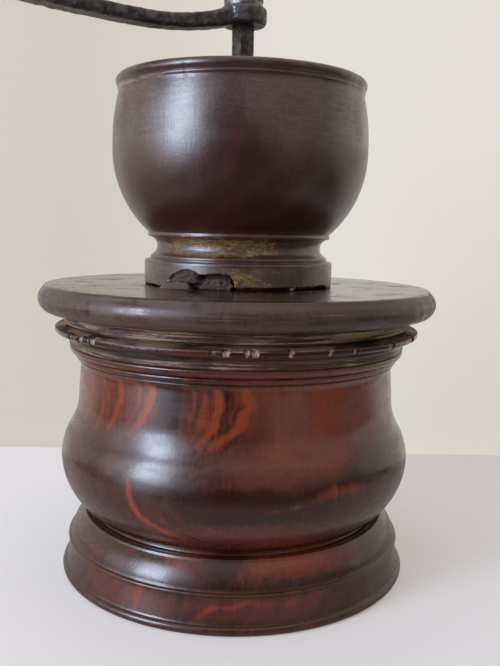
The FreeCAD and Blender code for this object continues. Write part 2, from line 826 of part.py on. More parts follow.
def inner_burr():
    """The cone: fine slanted teeth at its foot, coarse crushing vanes above."""
    body = new_body("inner_burr", cone_level)
    teeth = DIMENSIONS["cone_teeth"]
    vanes = DIMENSIONS["cone_vanes"]
    waist_level = s.cone_grind_height
    top_level = s.cone_grind_height + s.cone_crush_height
    cone_twist = DIMENSIONS["cone_twist_degrees"]
    vane_twist = DIMENSIONS["vane_twist_degrees"]
    foot_tip = s.outer_foot_tip - s.cone_foot_gap
    waist_tip = s.outer_waist_tip - s.cone_waist_gap
    foot = star(body, "Foot_teeth", ZERO, foot_tip, foot_tip - s.cone_foot_tooth, teeth, 0.0)
    waist = star(body, "Waist_teeth", waist_level, waist_tip, waist_tip - s.cone_waist_tooth, teeth, cone_twist)
    loft(body, "Grinding_cone", foot, waist)
    low = star(body, "Vane_foot", waist_level, waist_tip, cone_hub_radius + s.cone_hub_flare, vanes, 0.0)
    top = star(body, "Vane_top", top_level, cone_hub_radius + s.vane_top_height, cone_hub_radius, vanes, vane_twist)
    loft(body, "Crushing_cone", low, top)
    bore = new_sketch(body, "Bore_plan", "XY_Plane")
    circle_in(bore, (ZERO, ZERO), journal_radius)
    pocket(body, "Bore", bore, top_level, upward=True)
    pin = new_sketch(body, "Pin_hole_plan", "YZ_Plane", -foot_tip)
    circle_in(pin, (ZERO, s.cone_pin_level), s.cone_pin_radius)
    pocket(body, "Pin_hole", pin, foot_tip * 2, upward=True)
    return body


def burr_pin():
    """The cross pin that locks the cone to the shaft."""
    pin = doc.addObject("Part::Cylinder", "burr_pin")
    pin.Label = "burr_pin"
    bind(pin, "Radius", s.cone_pin_radius)
    bind(pin, "Height", pin_length())
    pin.Placement.Rotation = FreeCAD.Rotation(Vector(0, 1, 0), 90)
    bind(pin, "Placement.Base.x", -(pin_length() / 2))
    bind(pin, "Placement.Base.z", cone_level + s.cone_pin_level)
    doc.recompute()
    return pin


def pin_length():
    return cone_hub_radius * 2 - s.running_clearance


# Shaft and its bearing


def shaft_levels():
    """Heights above the pivot where the shaft turns square and where its threaded stud starts."""
    square_top = crank_level + s.crank_boss_height - s.joint_chamfer - pivot_level
    square_foot = square_top - s.square_length
    stud_top = crank_level + s.crank_boss_height + s.washer_thickness + s.nut_height + s.stud_projection
    return square_foot, square_top, stud_top - pivot_level


def main_shaft():
    """The shaft: a pivot at the foot, a round journal, a square for the crank and a stud for its nut."""
    body = new_body("main_shaft", pivot_level)
    square_foot, square_top, stud_top = shaft_levels()
    line = Outline(0, 0)
    line.to(s.pivot_radius, 0)
    line.to(s.pivot_radius, s.pivot_length)
    line.to(journal_radius, s.pivot_length)
    line.to(journal_radius, square_foot)
    line.to(0, square_foot)
    turn(body, "Journal", line)
    square = new_sketch(body, "Square_plan", "XY_Plane", square_foot)
    draw(square, rectangle(s.square_width / 2, s.square_width / 2))
    pad(body, "Square", square, square_top - square_foot)
    stud = new_sketch(body, "Stud_plan", "XY_Plane", square_top)
    circle_in(stud, (ZERO, ZERO), stud_radius)
    pad(body, "Stud", stud, stud_top - square_top)
    hole = new_sketch(body, "Pin_hole_plan", "YZ_Plane", -journal_radius)
    circle_in(hole, (ZERO, s.cone_lift + s.cone_pin_level), s.cone_pin_radius)
    pocket(body, "Pin_hole", hole, journal_radius * 2, upward=True)
    return body


def thrust_cup():
    """The small cup that carries the shaft's pivot on top of the adjusting screw."""
    body = new_body("thrust_cup", cup_level)
    spigot = s.adjuster_spigot_radius + s.running_clearance
    well = s.pivot_radius + s.running_clearance
    line = Outline(0, s.adjuster_spigot_height)
    line.to(spigot, s.adjuster_spigot_height)
    line.to(spigot, 0)
    line.to(well + s.cup_wall, 0)
    line.to(well + s.cup_wall, s.cup_floor + s.cup_wall_height)
    line.to(well, s.cup_floor + s.cup_wall_height)
    line.to(well, s.cup_floor)
    line.to(0, s.cup_floor)
    turn(body, "Turned", line)
    return body


def adjusting_screw():
    """The wing screw under the shaft: turning it lifts the cone and makes the coffee finer."""
    body = new_body("adjusting_screw", cup_level)
    drop = s.cup_rise + s.lower_bridge_thickness + s.adjuster_drop
    line = Outline(0, -drop)
    line.to(s.adjuster_radius, -drop)
    line.to(s.adjuster_radius, 0)
    line.to(s.adjuster_spigot_radius, 0)
    line.to(s.adjuster_spigot_radius, s.adjuster_spigot_height - s.running_clearance)
    line.to(0, s.adjuster_spigot_height - s.running_clearance)
    turn(body, "Stem", line)
    wing = new_sketch(body, "Wing_outline", "XZ_Plane")
    half = s.wing_width / 2
    shape = Outline(-s.adjuster_radius, -drop)
    shape.round(s.adjuster_radius - half, -(s.wing_height / 2), 0, s.wing_height / 8)
    shape.round(half - s.adjuster_radius / 2, -(s.wing_height / 2), -(s.wing_height / 8), -(s.wing_height / 8))
    shape.step(s.adjuster_radius, 0)
    shape.round(half - s.adjuster_radius / 2, s.wing_height / 2, s.wing_height / 8, -(s.wing_height / 8))
    shape.round(s.adjuster_radius - half, s.wing_height / 2, 0, s.wing_height / 8)
    draw(wing, shape)
    pad(body, "Wing", wing, s.wing_thickness, midplane=True)
    return body


def lower_bridge():
    """The iron stirrup under the burrs, tapped in the middle for the adjusting screw."""
    body = new_body("lower_bridge", lower_bridge_level)
    outer = burr_bolt_reach + s.lower_bridge_leg_thickness / 2
    inner = outer - s.lower_bridge_leg_thickness
    top = s.lower_bridge_thickness + s.lower_bridge_leg_height
    side = new_sketch(body, "Stirrup_outline", "XZ_Plane")
    shape = Outline(-outer, 0).to(outer, 0).to(outer, top).to(inner, top).to(inner, s.lower_bridge_thickness)
    shape.to(-inner, s.lower_bridge_thickness).to(-inner, top).to(-outer, top)
    draw(side, shape)
    pad(body, "Stirrup", side, s.lower_bridge_width, midplane=True)
    holes = new_sketch(body, "Holes_plan", "XY_Plane")
    circle_in(holes, (ZERO, ZERO), s.adjuster_radius + s.running_clearance)
    for direction in BRIDGE_SCREW_SIDES:
        circle_in(holes, (burr_bolt_reach * direction, ZERO), s.bolt_radius)
    pocket(body, "Holes", holes, top, upward=True)
    return body


def lower_bridge_bolts():
    """Two square-headed bolts, from under the stirrup up into the outer burr's flange."""
    bolts = []
    length = s.lower_bridge_thickness + s.lower_bridge_leg_height + s.burr_flange_thickness
    for number, side in enumerate(BRIDGE_SCREW_SIDES, start=1):
        head = doc.addObject("Part::Box", f"bolt_head_{number}")
        for name in ("Length", "Width"):
            bind(head, name, s.bolt_head_width)
        bind(head, "Height", s.bolt_head_height)
        bind(head, "Placement.Base.x", -(s.bolt_head_width / 2))
        bind(head, "Placement.Base.y", -(s.bolt_head_width / 2))
        bind(head, "Placement.Base.z", -s.bolt_head_height)
        shank = doc.addObject("Part::Cylinder", f"bolt_shank_{number}")
        bind(shank, "Radius", s.bolt_radius)
        bind(shank, "Height", length)
        bolt = doc.addObject("Part::Fuse", f"bolt_{number}")
        bolt.Base = head
        bolt.Tool = shank
        bind(bolt, "Placement.Base.x", burr_bolt_reach * side)
        bolts.append(bolt)
    group = doc.addObject("Part::Compound", "lower_bridge_bolts")
    group.Label = "lower_bridge_bolts"
    group.Links = bolts
    bind(group, "Placement.Base.z", lower_bridge_level)
    doc.recompute()
    return group


# Crank and handle


def crank_arm():
    """The forged arm: a drum with a square hole, a bar that dips and rises, and an eye at its end."""
    body = new_body("crank_arm", crank_level)
    side = new_sketch(body, "Bar_outline", "XZ_Plane")
    root = -s.crank_root_reach
    dip = -s.crank_dip_reach
    tail = -s.crank_reach
    bar = Outline(root, -s.crank_root_drop)
    bar.sweep_to(dip, -s.crank_dip, level_here=False)
    bar.sweep_to(tail, s.crank_end_rise - s.crank_end_thickness, level_here=True)
    bar.to(tail, s.crank_end_rise)
    bar.sweep_to(dip, s.crank_thickness - s.crank_dip, level_here=False)
    bar.sweep_to(root, s.crank_boss_height - s.crank_root_setback, level_here=True)
    draw(side, bar)
    pad(body, "Bar", side, s.crank_width, midplane=True)
    half = s.crank_width.number / 2
    long_edges = edges_where(
        body,
        lambda edge: all(abs(abs(vertex.Y) - half) < 1e-6 for vertex in edge.Vertexes) and edge.Length > half * 2,
    )
    soften(body, "Bar_edges", long_edges, s.crank_edge_round)
    drum_bulge = s.crank_boss_round * QUARTER_BULGE
    drum = Outline(0, 0)
    drum.to(crank_boss_radius - s.crank_boss_round, 0)
    drum.round(s.crank_boss_round, s.crank_boss_round, drum_bulge, -drum_bulge)
    drum.to(crank_boss_radius, s.crank_boss_height - s.crank_boss_round)
    drum.round(-s.crank_boss_round, s.crank_boss_round, drum_bulge, drum_bulge)
    drum.to(0, s.crank_boss_height)
    turn(body, "Drum", drum)
    eye = new_sketch(body, "Eye_plan", "XY_Plane", -s.crank_eye_drop)
    circle_in(eye, (tail, ZERO), crank_eye_radius)
    pad(body, "Eye", eye, s.crank_eye_height)
    rims = edges_where(
        body,
        lambda edge: edge.Curve.TypeId == "Part::GeomCircle"
        and abs(edge.Curve.Radius - crank_eye_radius.number) < 1e-6
        and edge.isClosed(),
    )
    soften(body, "Eye_edges", rims, s.crank_eye_round)
    square = new_sketch(body, "Square_hole_plan", "XY_Plane")
    half_square = s.square_width / 2 + s.running_clearance
    draw(square, rectangle(half_square, half_square))
    pocket(body, "Square_hole", square, s.crank_boss_height, upward=True)
    rivet = new_sketch(body, "Rivet_hole_plan", "XY_Plane", -s.crank_eye_drop)
    circle_in(rivet, (tail, ZERO), s.spindle_radius)
    pocket(body, "Rivet_hole", rivet, s.crank_eye_height, upward=True)
    return body


def washer(label, level, x, radius, hole):
    body = new_body(label, level, x)
    line = Outline(hole, 0).to(radius, 0).to(radius, s.washer_thickness).to(hole, s.washer_thickness)
    turn(body, "Turned", line)
    return body


def crank_washer():
    level = crank_level + s.crank_boss_height
    return washer("crank_washer", level, ZERO, crank_boss_radius - s.crank_washer_setback, stud_radius + s.running_clearance)


def knob_washer():
    level = eye_level + s.crank_eye_height
    hole = s.spindle_radius + s.running_clearance
    return washer("knob_washer", level, -s.crank_reach, s.spindle_radius + s.knob_washer_width, hole)


def crank_nut():
    """The square nut on the shaft's stud, its upper corners rounded off."""
    body = new_body("crank_nut", crank_level + s.crank_boss_height + s.washer_thickness)
    plan = new_sketch(body, "Square_plan", "XY_Plane")
    half = stud_radius + s.nut_wall
    draw(plan, rectangle(half, half))
    pad(body, "Block", plan, s.nut_height)
    top = s.nut_height.number
    rim = edges_where(body, lambda edge: all(abs(vertex.Z - top) < 1e-6 for vertex in edge.Vertexes))
    block = body.Tip
    chamfer = body.newObject("PartDesign::Chamfer", "Top_chamfer")
    chamfer.Base = (block, rim)
    bind(chamfer, "Size", s.nut_chamfer)
    doc.recompute()
    bore = new_sketch(body, "Bore_plan", "XY_Plane")
    circle_in(bore, (ZERO, ZERO), stud_radius)
    pocket(body, "Bore", bore, s.nut_height, upward=True)
    return body


def knob_spindle():
    """The rivet that carries the knob: a head under the arm's eye and a button over the knob."""
    body = new_body("knob_spindle", eye_level, -s.crank_reach)
    button_level = s.crank_eye_height + s.washer_thickness + knob_height() + s.knob_end_gap
    line = Outline(0, -s.rivet_head_height)
    line.to(rivet_head_radius / 2, -s.rivet_head_height)
    line.arc_to(
        (rivet_head_radius * 0.86, -s.rivet_head_height / 2 - s.rivet_head_height * 0.13),
        (rivet_head_radius, ZERO),
    )
    line.to(s.spindle_radius, 0)
    line.to(s.spindle_radius, button_level)
    line.to(rivet_head_radius, button_level)
    line.arc_to(
        (rivet_head_radius * 0.86, button_level + s.rivet_head_height * 0.63),
        (rivet_head_radius / 2, button_level + s.rivet_head_height),
    )
    line.to(0, button_level + s.rivet_head_height)
    turn(body, "Turned", line)
    return body


pieces = [
    receiver_barrel(),
    mill_head(),
    hopper_bowl(),
    upper_bridge(),
    upper_bridge_screws(),
    upper_bush(),
    outer_burr(),
    outer_burr_screws(),
    lower_bridge(),
    lower_bridge_bolts(),
    thrust_cup(),
    adjusting_screw(),
    main_shaft(),
    inner_burr(),
    burr_pin(),
    crank_arm(),
    crank_washer(),
    crank_nut(),
    knob_spindle(),
    knob_washer(),
    handle_knob(),
]
doc.recompute()

faults = [item.Label for item in doc.Objects if {"Invalid", "Error"} & set(item.State)]
for piece in pieces:
    if piece.Shape.isNull() or not piece.Shape.isValid():
        faults.append(piece.Label)
if faults:
    raise RuntimeError("these objects did not build: " + ", ".join(faults))

os.makedirs("parts", exist_ok=True)
for piece in pieces:
    piece.Shape.exportStep(f"parts/{piece.Label}.step")
    box = piece.Shape.BoundBox
    print(
        f"{piece.Label:22s} solids {len(piece.Shape.Solids)}  volume {piece.Shape.Volume:9.1f}"
        f"  x {box.XMin:7.2f} {box.XMax:7.2f}  y {box.YMin:7.2f} {box.YMax:7.2f}  z {box.ZMin:7.2f} {box.ZMax:7.2f}"
    )
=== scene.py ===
"""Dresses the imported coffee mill: turned hardwood, forged iron, and a pale table by a window."""

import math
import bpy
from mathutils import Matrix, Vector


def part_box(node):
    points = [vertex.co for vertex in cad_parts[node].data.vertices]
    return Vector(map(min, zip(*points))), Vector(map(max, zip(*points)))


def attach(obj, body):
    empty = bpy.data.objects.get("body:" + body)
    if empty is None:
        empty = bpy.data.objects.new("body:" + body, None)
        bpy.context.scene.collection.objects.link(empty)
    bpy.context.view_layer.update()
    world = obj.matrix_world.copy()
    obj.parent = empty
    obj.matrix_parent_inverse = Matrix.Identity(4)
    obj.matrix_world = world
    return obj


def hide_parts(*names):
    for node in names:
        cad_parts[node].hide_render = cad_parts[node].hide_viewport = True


bl_info = {
    "name": "Manual coffee grinder",
    "version": (1, 0, 0),
    "blender": (4, 5, 0),
    "location": "3D View > Sidebar > Coffee mill",
    "description": "Turned hardwood and forged iron for a hand-cranked coffee mill",
    "category": "Object",
}

from functools import partial

import bmesh
import bpy
from bpy.props import FloatProperty, FloatVectorProperty, IntProperty, PointerProperty
from mathutils import Matrix, Vector, noise

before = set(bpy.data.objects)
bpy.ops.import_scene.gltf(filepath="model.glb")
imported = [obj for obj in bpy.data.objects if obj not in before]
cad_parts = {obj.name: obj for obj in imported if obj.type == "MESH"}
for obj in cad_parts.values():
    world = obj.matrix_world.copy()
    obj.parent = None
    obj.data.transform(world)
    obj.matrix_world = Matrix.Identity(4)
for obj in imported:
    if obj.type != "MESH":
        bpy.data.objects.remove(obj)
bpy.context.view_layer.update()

MM = 0.001
ANY = math.inf


def edge(node, side, axis):
    """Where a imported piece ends, in millimetres: side 0 is its lowest corner and side 1 its highest."""
    return round(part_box(node)[side]["xyz".index(axis)] / MM, 1)


# levels and the crank's length as packed, in millimetres
BARREL_TOP = edge("receiver_barrel", 1, "z")
TENON_FOOT = edge("mill_head", 0, "z")
DISC_TOP = edge("mill_head", 1, "z")
SPIGOT_FOOT = edge("hopper_bowl", 0, "z")
KNOB_FOOT = edge("handle_knob", 0, "z")
KNOB_TOP = edge("handle_knob", 1, "z")
CRANK_REACH = -(edge("handle_knob", 0, "x") + edge("handle_knob", 1, "x")) / 2

# bores, seats and starting radii of the turned pieces, in millimetres
FOOT_RADIUS = 60.9
MOUTH_RADIUS = 50.0
MOUTH_DEPTH = 9.0
CAVITY_RADIUS = 47.5
CAVITY_FLOOR = 9.0
CAVITY_FILLET = 8.0
JOINT_RADIUS = 59.0
TENON_RADIUS = 49.9
TENON_CHAMFER = 0.4
HEAD_BORE = 21.7
SPIGOT_HOLE = 26.1
SPIGOT_SEAT = 94.5
SPIGOT_RADIUS = 26.0
COLLAR_FOOT = 33.0
THROAT_RADIUS = 18.0
THROAT_TOP = 120.3
# the bowl's hollow from its wall to its floor, as (radius, level)
HOLLOW_TOP = (40.2, 149.2)
HOLLOW_SIDE = (36.8, 136.5)
HOLLOW_FLOOR = (27.0, 123.8)
SPINDLE_HOLE = 3.05
KNOB_RADIUS = 8.6

# how far the photographer's view is turned about the mill, seen from above
VIEW_TURN = math.radians(-31.8)
# the azimuth in degrees that faces the photographer
FRONT = 240.0

# The turned outlines from the bottom up, in millimetres: each moulding's run outward, its rise, and how
# far the middle of its arc stands off the chord, outward and upward.
BARREL_PROFILE = (
    ("foot bead", 0.5, 3.0, 1.2),
    ("foot quirk", -0.4, 0.0),
    ("plinth", -1.4, 8.4, -0.1),
    ("plinth bead", 0.0, 1.3, 0.65),
    ("plinth quirk", -0.4, 0.0),
    ("foot round", -4.4, 7.9, 0.65, 0.4),
    ("foot lip", -0.6, 0.8, 0.2, 0.15),
    ("foot groove", -3.0, -0.4),
    ("foot neck", 0.0, 2.5, -0.2),
    ("belly overhang", 2.4, 0.0),
    ("lower belly", 8.8, 18.2, 2.45),
    ("upper belly", -2.65, 10.0, 0.67),
    ("waist", -3.4, 10.5, -0.75),
    ("wall", -0.75, 11.2),
    ("mouth cove", 0.7, 1.6, -0.2),
    ("mouth fillet", 0.0, 0.5),
    ("fillet quirk", -0.4, 0.0),
    ("fillet groove", 0.0, 0.35),
    ("bead shelf", 0.6, 0.0),
    ("mouth bead", 0.7, 1.85, 0.5),
    ("bead quirk", -0.4, 0.0),
    ("bead groove", 0.0, 0.35),
    ("mouth shelf", 1.3, 0.0),
    ("mouth round", 1.3, 2.15, 0.4),
    ("joint edge", -0.4, 0.4),
)
HEAD_PROFILE = (
    ("joint edge", 0.4, 0.4),
    ("joint band", 0.0, 1.8),
    ("joint bead", 1.0, 1.1, 0.4),
    ("flange neck", 0.0, 0.7),
    ("flange underside", 3.2, 0.6),
    ("flange chamfer", 0.6, 0.6),
    ("flange edge", 0.0, 1.4),
    ("flange top", -5.8, 0.7),
    ("under cove", 2.0, 0.8, -0.4, 0.4),
    ("under nose", 0.6, 1.0, 0.65),
    ("under fillet", -0.3, 1.1),
    ("disc step", 1.5, 0.3),
    ("disc bead", 0.5, 1.1, 0.6),
    ("disc underside", 2.0, 0.2),
    ("disc edge", 3.5, 8.0, 3.45),
    ("disc lip", -1.5, 1.2, 0.3, 0.3),
)
BOWL_PROFILE = (
    ("collar foot", 0.4, 0.4),
    ("collar", 0.0, 7.6),
    ("collar edge", -0.8, 0.8, 0.17, 0.17),
    ("collar top", -1.6, 0.0),
    ("neck bead", 0.0, 1.6, 0.4),
    ("scotia", 0.5, 6.2, -2.25),
    ("bowl step", 0.5, 0.0),
    ("bowl bead", 0.0, 1.4, 0.35),
    ("bowl quirk", 0.7, 0.7),
    ("lower bowl", 11.9, 28.9, 3.65),
    ("upper bowl", -2.1, 18.0, 0.6),
    ("rim bead", 0.0, 1.4, 0.4),
    ("lip", 0.0, 3.3, 1.0),
    ("rim top", -2.8, 0.0),
    ("rim inside", 0.0, -3.8, -0.3),
)
KNOB_PROFILE = (
    ("foot", 0.0, 3.0, 0.8),
    ("foot step", -1.6, 0.0),
    ("hollow", 6.4, 15.0, -1.6),
    ("crown", -6.6, 15.0, 3.2),
)

# inside this radius the barrel's wood is out of sight, in millimetres
BARREL_WALL = 48.0
# places that the wear and the marks follow: radii and levels in millimetres, azimuths in degrees
FLANGE_RADIUS = 64.0
FLANGE_SHOULDER = 85.8
LIP_RADIUS = 71.4
GLUE_RADIUS = 34.8
GLUE_AZIMUTH = 203.5
BRIDGE_AZIMUTH = 271.5
NECK_BEAD_LEVEL = 118.9
RIM_BEAD_LEVEL = 167.4
# zones of the turned pieces, as (inner radius, outer radius, lowest level, highest level) in millimetres
EVERYWHERE = (-ANY, ANY, -ANY, ANY)
NOWHERE = (0.0, 0.0, 0.0, 0.0)
FLANGE = (60.5, ANY, 83.6, 88.0)
UNDER_DISC = (57.0, ANY, -ANY, 92.5)
GLUE_RING = (33.0, 41.0, 101.4, ANY)
COLLAR = (32.0, ANY, 101.5, 109.0)
NECK = (28.0, ANY, 109.0, 120.4)
CUP = (34.0, ANY, 119.0, ANY)
# the longest step of an outline by zone, of which the first that fits counts: (zone, millimetres)
BARREL_STEPS = (((BARREL_WALL, ANY, 0.05, ANY), 1.0), (EVERYWHERE, 5.0))
HEAD_STEPS = (
    ((58.0, ANY, 83.0, 88.2), 0.4), ((57.0, ANY, 80.0, ANY), 1.0), (GLUE_RING, 0.5),
    ((0.0, ANY, 100.0, ANY), 2.4), (EVERYWHERE, 6.0))
BOWL_STEPS = (
    ((28.0, ANY, 101.5, 109.0), 0.35), ((28.0, ANY, 109.0, 120.5), 0.5), ((30.0, ANY, 101.5, ANY), 1.6),
    (EVERYWHERE, 4.0))
KNOB_STEPS = (((3.5, ANY, 0.0, ANY), 0.6), (EVERYWHERE, 4.0))
# where a piece has more faces round it: (zone, how many times as many)
HEAD_FINE = (FLANGE, 4)
BOWL_FINE = ((28.0, ANY, 101.7, 120.0), 2)


# Settings

# what every colour setting has in common
SWATCH = {"subtype": "COLOR", "size": 3, "min": 0.0, "max": 1.0}


class WoodLook(bpy.types.PropertyGroup):
    dark: FloatVectorProperty(
        name="Dark wood", description="The wood between the growth rings",
        default=(0.026, 0.0046, 0.0032), **SWATCH)
    warm: FloatVectorProperty(
        name="Warm wood", description="The redder wood where the finish has worn thin",
        default=(0.088, 0.0165, 0.0068), **SWATCH)
    pale: FloatVectorProperty(
        name="Pale heartwood", description="The pinkish brown wood on the barrel's right side",
        default=(0.150, 0.040, 0.020), **SWATCH)
    bloom: FloatVectorProperty(
        name="Bloom", description="Brown-grey bloom on the dull polish of the bowl and the disc",
        default=(0.070, 0.035, 0.024), **SWATCH)
    flame: FloatVectorProperty(
        name="Flame", description="The orange growth rings of the heartwood",
        default=(0.195, 0.030, 0.0065), **SWATCH)
    sapwood: FloatVectorProperty(
        name="Sapwood", description="The yellow sapwood left in the neck and collar",
        default=(0.33, 0.20, 0.07), **SWATCH)
    broken: FloatVectorProperty(
        name="Broken wood", description="Bare wood where the collar has broken away",
        default=(0.085, 0.044, 0.030), **SWATCH)
    dust: FloatVectorProperty(
        name="Old dust", description="Grey bloom and dust in the mouldings",
        default=(0.30, 0.175, 0.095), **SWATCH)
    pith_distance: FloatProperty(
        name="Pith distance", description="How far the heart of the tree lies from the turning axis",
        subtype="DISTANCE", unit="LENGTH", default=0.013)
    pith_azimuth: FloatProperty(
        name="Pith azimuth", description="On which side of the axis the heart of the tree lies",
        subtype="ANGLE", unit="ROTATION", default=math.radians(127.0))
    roughness: FloatProperty(
        name="Polish roughness", description="Roughness of the old polish",
        subtype="FACTOR", min=0.0, max=1.0, default=0.30)


class TurningLook(bpy.types.PropertyGroup):
    divisions: IntProperty(
        name="Divisions", description="Faces around each turned piece", min=90, max=720, default=360)
    edge_wear: FloatProperty(
        name="Edge wear", description="How far the turned edges are rounded by handling",
        subtype="DISTANCE", unit="LENGTH", default=0.00030)
    break_depth: FloatProperty(
        name="Break depth", description="Depth of the piece broken out of the bowl's collar",
        subtype="DISTANCE", unit="LENGTH", default=0.0022)
    chip_depth: FloatProperty(
        name="Chip depth", description="Depth of the chips along the thin flange",
        subtype="DISTANCE", unit="LENGTH", default=0.0016)


class IronLook(bpy.types.PropertyGroup):
    scale: FloatVectorProperty(
        name="Forge scale", description="Dark scale on the forged iron",
        default=(0.034, 0.031, 0.031), **SWATCH)
    worn: FloatVectorProperty(
        name="Worn iron", description="Iron rubbed grey by the hand",
        default=(0.16, 0.15, 0.15), **SWATCH)
    rust: FloatVectorProperty(
        name="Rust", description="Old rust in the pits",
        default=(0.085, 0.040, 0.022), **SWATCH)
    brass: FloatVectorProperty(
        name="Brass", description="Tarnished brass of the bush and the thrust cup",
        default=(0.56, 0.38, 0.14), **SWATCH)
    pitting: FloatProperty(
        name="Pitting", description="Depth of the hammer marks and pits",
        subtype="DISTANCE", unit="LENGTH", default=0.00014)


class StageLook(bpy.types.PropertyGroup):
    table: FloatVectorProperty(
        name="Table", description="The white table",
        default=(0.82, 0.78, 0.77), **SWATCH)
    wall: FloatVectorProperty(
        name="Wall", description="The cream wall behind",
        default=(0.80, 0.755, 0.685), **SWATCH)
    wall_shade: FloatVectorProperty(
        name="Wall in shade", description="The cream wall on its darker side",
        default=(0.64, 0.58, 0.49), **SWATCH)
    wall_distance: FloatProperty(
        name="Wall distance", description="From the mill's axis to the wall behind it",
        subtype="DISTANCE", unit="LENGTH", default=0.146)
    window_power: FloatProperty(
        name="Window power", description="Power of the window light in watts", min=0.0, default=23.0)
    room_light: FloatProperty(
        name="Room light", description="Strength of the light from the room", min=0.0, default=1.0)
    lens: FloatProperty(
        name="Lens", description="Focal length in millimetres for a 36 mm long side", min=10.0, default=41.54)


class MillLooks(bpy.types.PropertyGroup):
    wood: PointerProperty(type=WoodLook, name="Wood", description="Colours of the turned wood")
    turning: PointerProperty(type=TurningLook, name="Turning", description="Form of the turned pieces")
    iron: PointerProperty(type=IronLook, name="Iron", description="Colours of the metal")
    stage: PointerProperty(type=StageLook, name="Stage", description="Table, wall and light")


# Finishes: node-based materials


class Flow:
    """What flows out of one socket; sums on it add their own Math nodes."""

    def __init__(self, finish, socket):
        self.finish = finish
        self.socket = socket

    def other(self, name):
        """Another output of the same node."""
        return Flow(self.finish, self.socket.node.outputs[name])

    def __add__(self, term):
        return self.finish.math("ADD", self, term)

    def __sub__(self, term):
        return self.finish.math("SUBTRACT", self, term)

    def __rsub__(self, term):
        return self.finish.math("SUBTRACT", term, self)

    def __mul__(self, term):
        return self.finish.math("MULTIPLY", self, term)

    def __truediv__(self, term):
        return self.finish.math("DIVIDE", self, term)

    def __rtruediv__(self, term):
        return self.finish.math("DIVIDE", term, self)

    def __pow__(self, term):
        return self.finish.math("POWER", self, term)

    __radd__ = __add__
    __rmul__ = __mul__


class Finish:
    """A material, or the room's light, that is put together node by node."""

    def __init__(self, name, keeper=bpy.data.materials):
        self.material = keeper.new(name)
        self.material.use_nodes = True
        self.tree = self.material.node_tree
        self.tree.nodes.clear()

    def add(self, kind, settings=None, sockets=None, output=0):
        """Adds one node: its settings first, then the values or links of its sockets."""
        node = self.tree.nodes.new(kind)
        for name, setting in (settings or {}).items():
            setattr(node, name, setting)
        for name, value in (sockets or {}).items():
            if isinstance(value, Flow):
                self.tree.links.new(value.socket, node.inputs[name])
            else:
                node.inputs[name].default_value = value
        return Flow(self, node.outputs[output]) if node.outputs else None

    def math(self, operation, *terms):
        """A Math node's result for its terms."""
        return self.add("ShaderNodeMath", {"operation": operation}, dict(enumerate(terms)))

    def place(self, stretch=(1.0, 1.0, 1.0), turn=(0.0, 0.0, 0.0)):
        """Where a point of the piece lies, in millimetres, stretched for grain."""
        here = self.add("ShaderNodeTexCoord", output="Object")
        return self.add(
            "ShaderNodeMapping", {"vector_type": "POINT"},
            {"Vector": here, "Rotation": turn, "Scale": tuple(part / MM for part in stretch)})

    def noise(self, scale, detail=2.0, roughness=0.5, distortion=0.0, **placing):
        """Noise over the piece, with the stretch and turn of its place."""
        return self.add("ShaderNodeTexNoise", {"noise_dimensions": "3D"}, {
            "Vector": self.place(**placing), "Scale": scale, "Detail": detail, "Roughness": roughness,
            "Distortion": distortion})

    def fade(self, value, start, end, low=0.0, high=1.0):
        """Runs smoothly from low to high as value goes from start to end."""
        return self.add("ShaderNodeMapRange", {"interpolation_type": "SMOOTHSTEP", "clamp": True}, {
            "Value": value, "From Min": start, "From Max": end, "To Min": low, "To Max": high})

    def blend(self, factor, below, above):
        """Two colours mixed by a factor."""
        below, above = (tone if isinstance(tone, Flow) else (*tone, 1.0) for tone in (below, above))
        return self.add(
            "ShaderNodeMix", {"data_type": "RGBA", "clamp_factor": True}, {0: factor, 6: below, 7: above},
            output=2)

    def tint(self, colour, tone, amount, start, end):
        """A colour that gives way to a tone as an amount goes from start to end."""
        return self.blend(self.fade(amount, start, end), colour, tone)

    def painted(self, name):
        """A number that was stored at the mesh's vertices while it was carved."""
        return self.add(
            "ShaderNodeAttribute", {"attribute_type": "GEOMETRY", "attribute_name": name}, output="Fac")

    def bump(self, height, depth, below=None):
        """A bump of so many millimetres where height runs from 0 to 1."""
        sockets = {"Height": height, "Distance": depth * MM, "Strength": 1.0}
        if below:
            sockets["Normal"] = below
        return self.add("ShaderNodeBump", None, sockets)

    def surface(self, sockets):
        """Ends the material with a Principled shader."""
        skin = self.add("ShaderNodeBsdfPrincipled", None, sockets)
        self.add("ShaderNodeOutputMaterial", None, {"Surface": skin})
        return self.material


def heart(look):
    """The heart of the tree as seen from above, in millimetres from the turning axis."""
    pith = Vector((look.pith_distance, 0.0)) / MM
    pith.rotate(Matrix.Rotation(look.pith_azimuth, 2))
    return pith


def growth(finish, look, warp, lean=(0.0, 0.0)):
    """Distance in millimetres from the heart of the tree, which the growth rings follow."""
    pith = heart(look)
    spot = finish.add("ShaderNodeSeparateXYZ", None, {"Vector": finish.place()})
    level = spot.other("Z")
    out = spot - pith.x - level * lean[0]
    back = spot.other("Y") - pith.y - level * lean[1]
    slow = finish.noise(0.035) - 0.5
    quick = finish.noise(0.22, stretch=(1.0, 1.0, 0.35)) - 0.5
    return (out * out + back * back) ** 0.5 + slow * warp + quick * (warp * 0.35)


def fibres(finish, **placing):
    """Fine grain along the wood's length, from 0 to 1."""
    return finish.noise(1.6, 4.0, 0.62, stretch=(1.0, 1.0, 0.045), **placing)


def pores(finish, **placing):
    """The wood's open pores, from 0 to 1."""
    return finish.fade(finish.noise(3.4, stretch=(1.0, 1.0, 0.07), **placing), 0.60, 0.72)


# Turned meshes


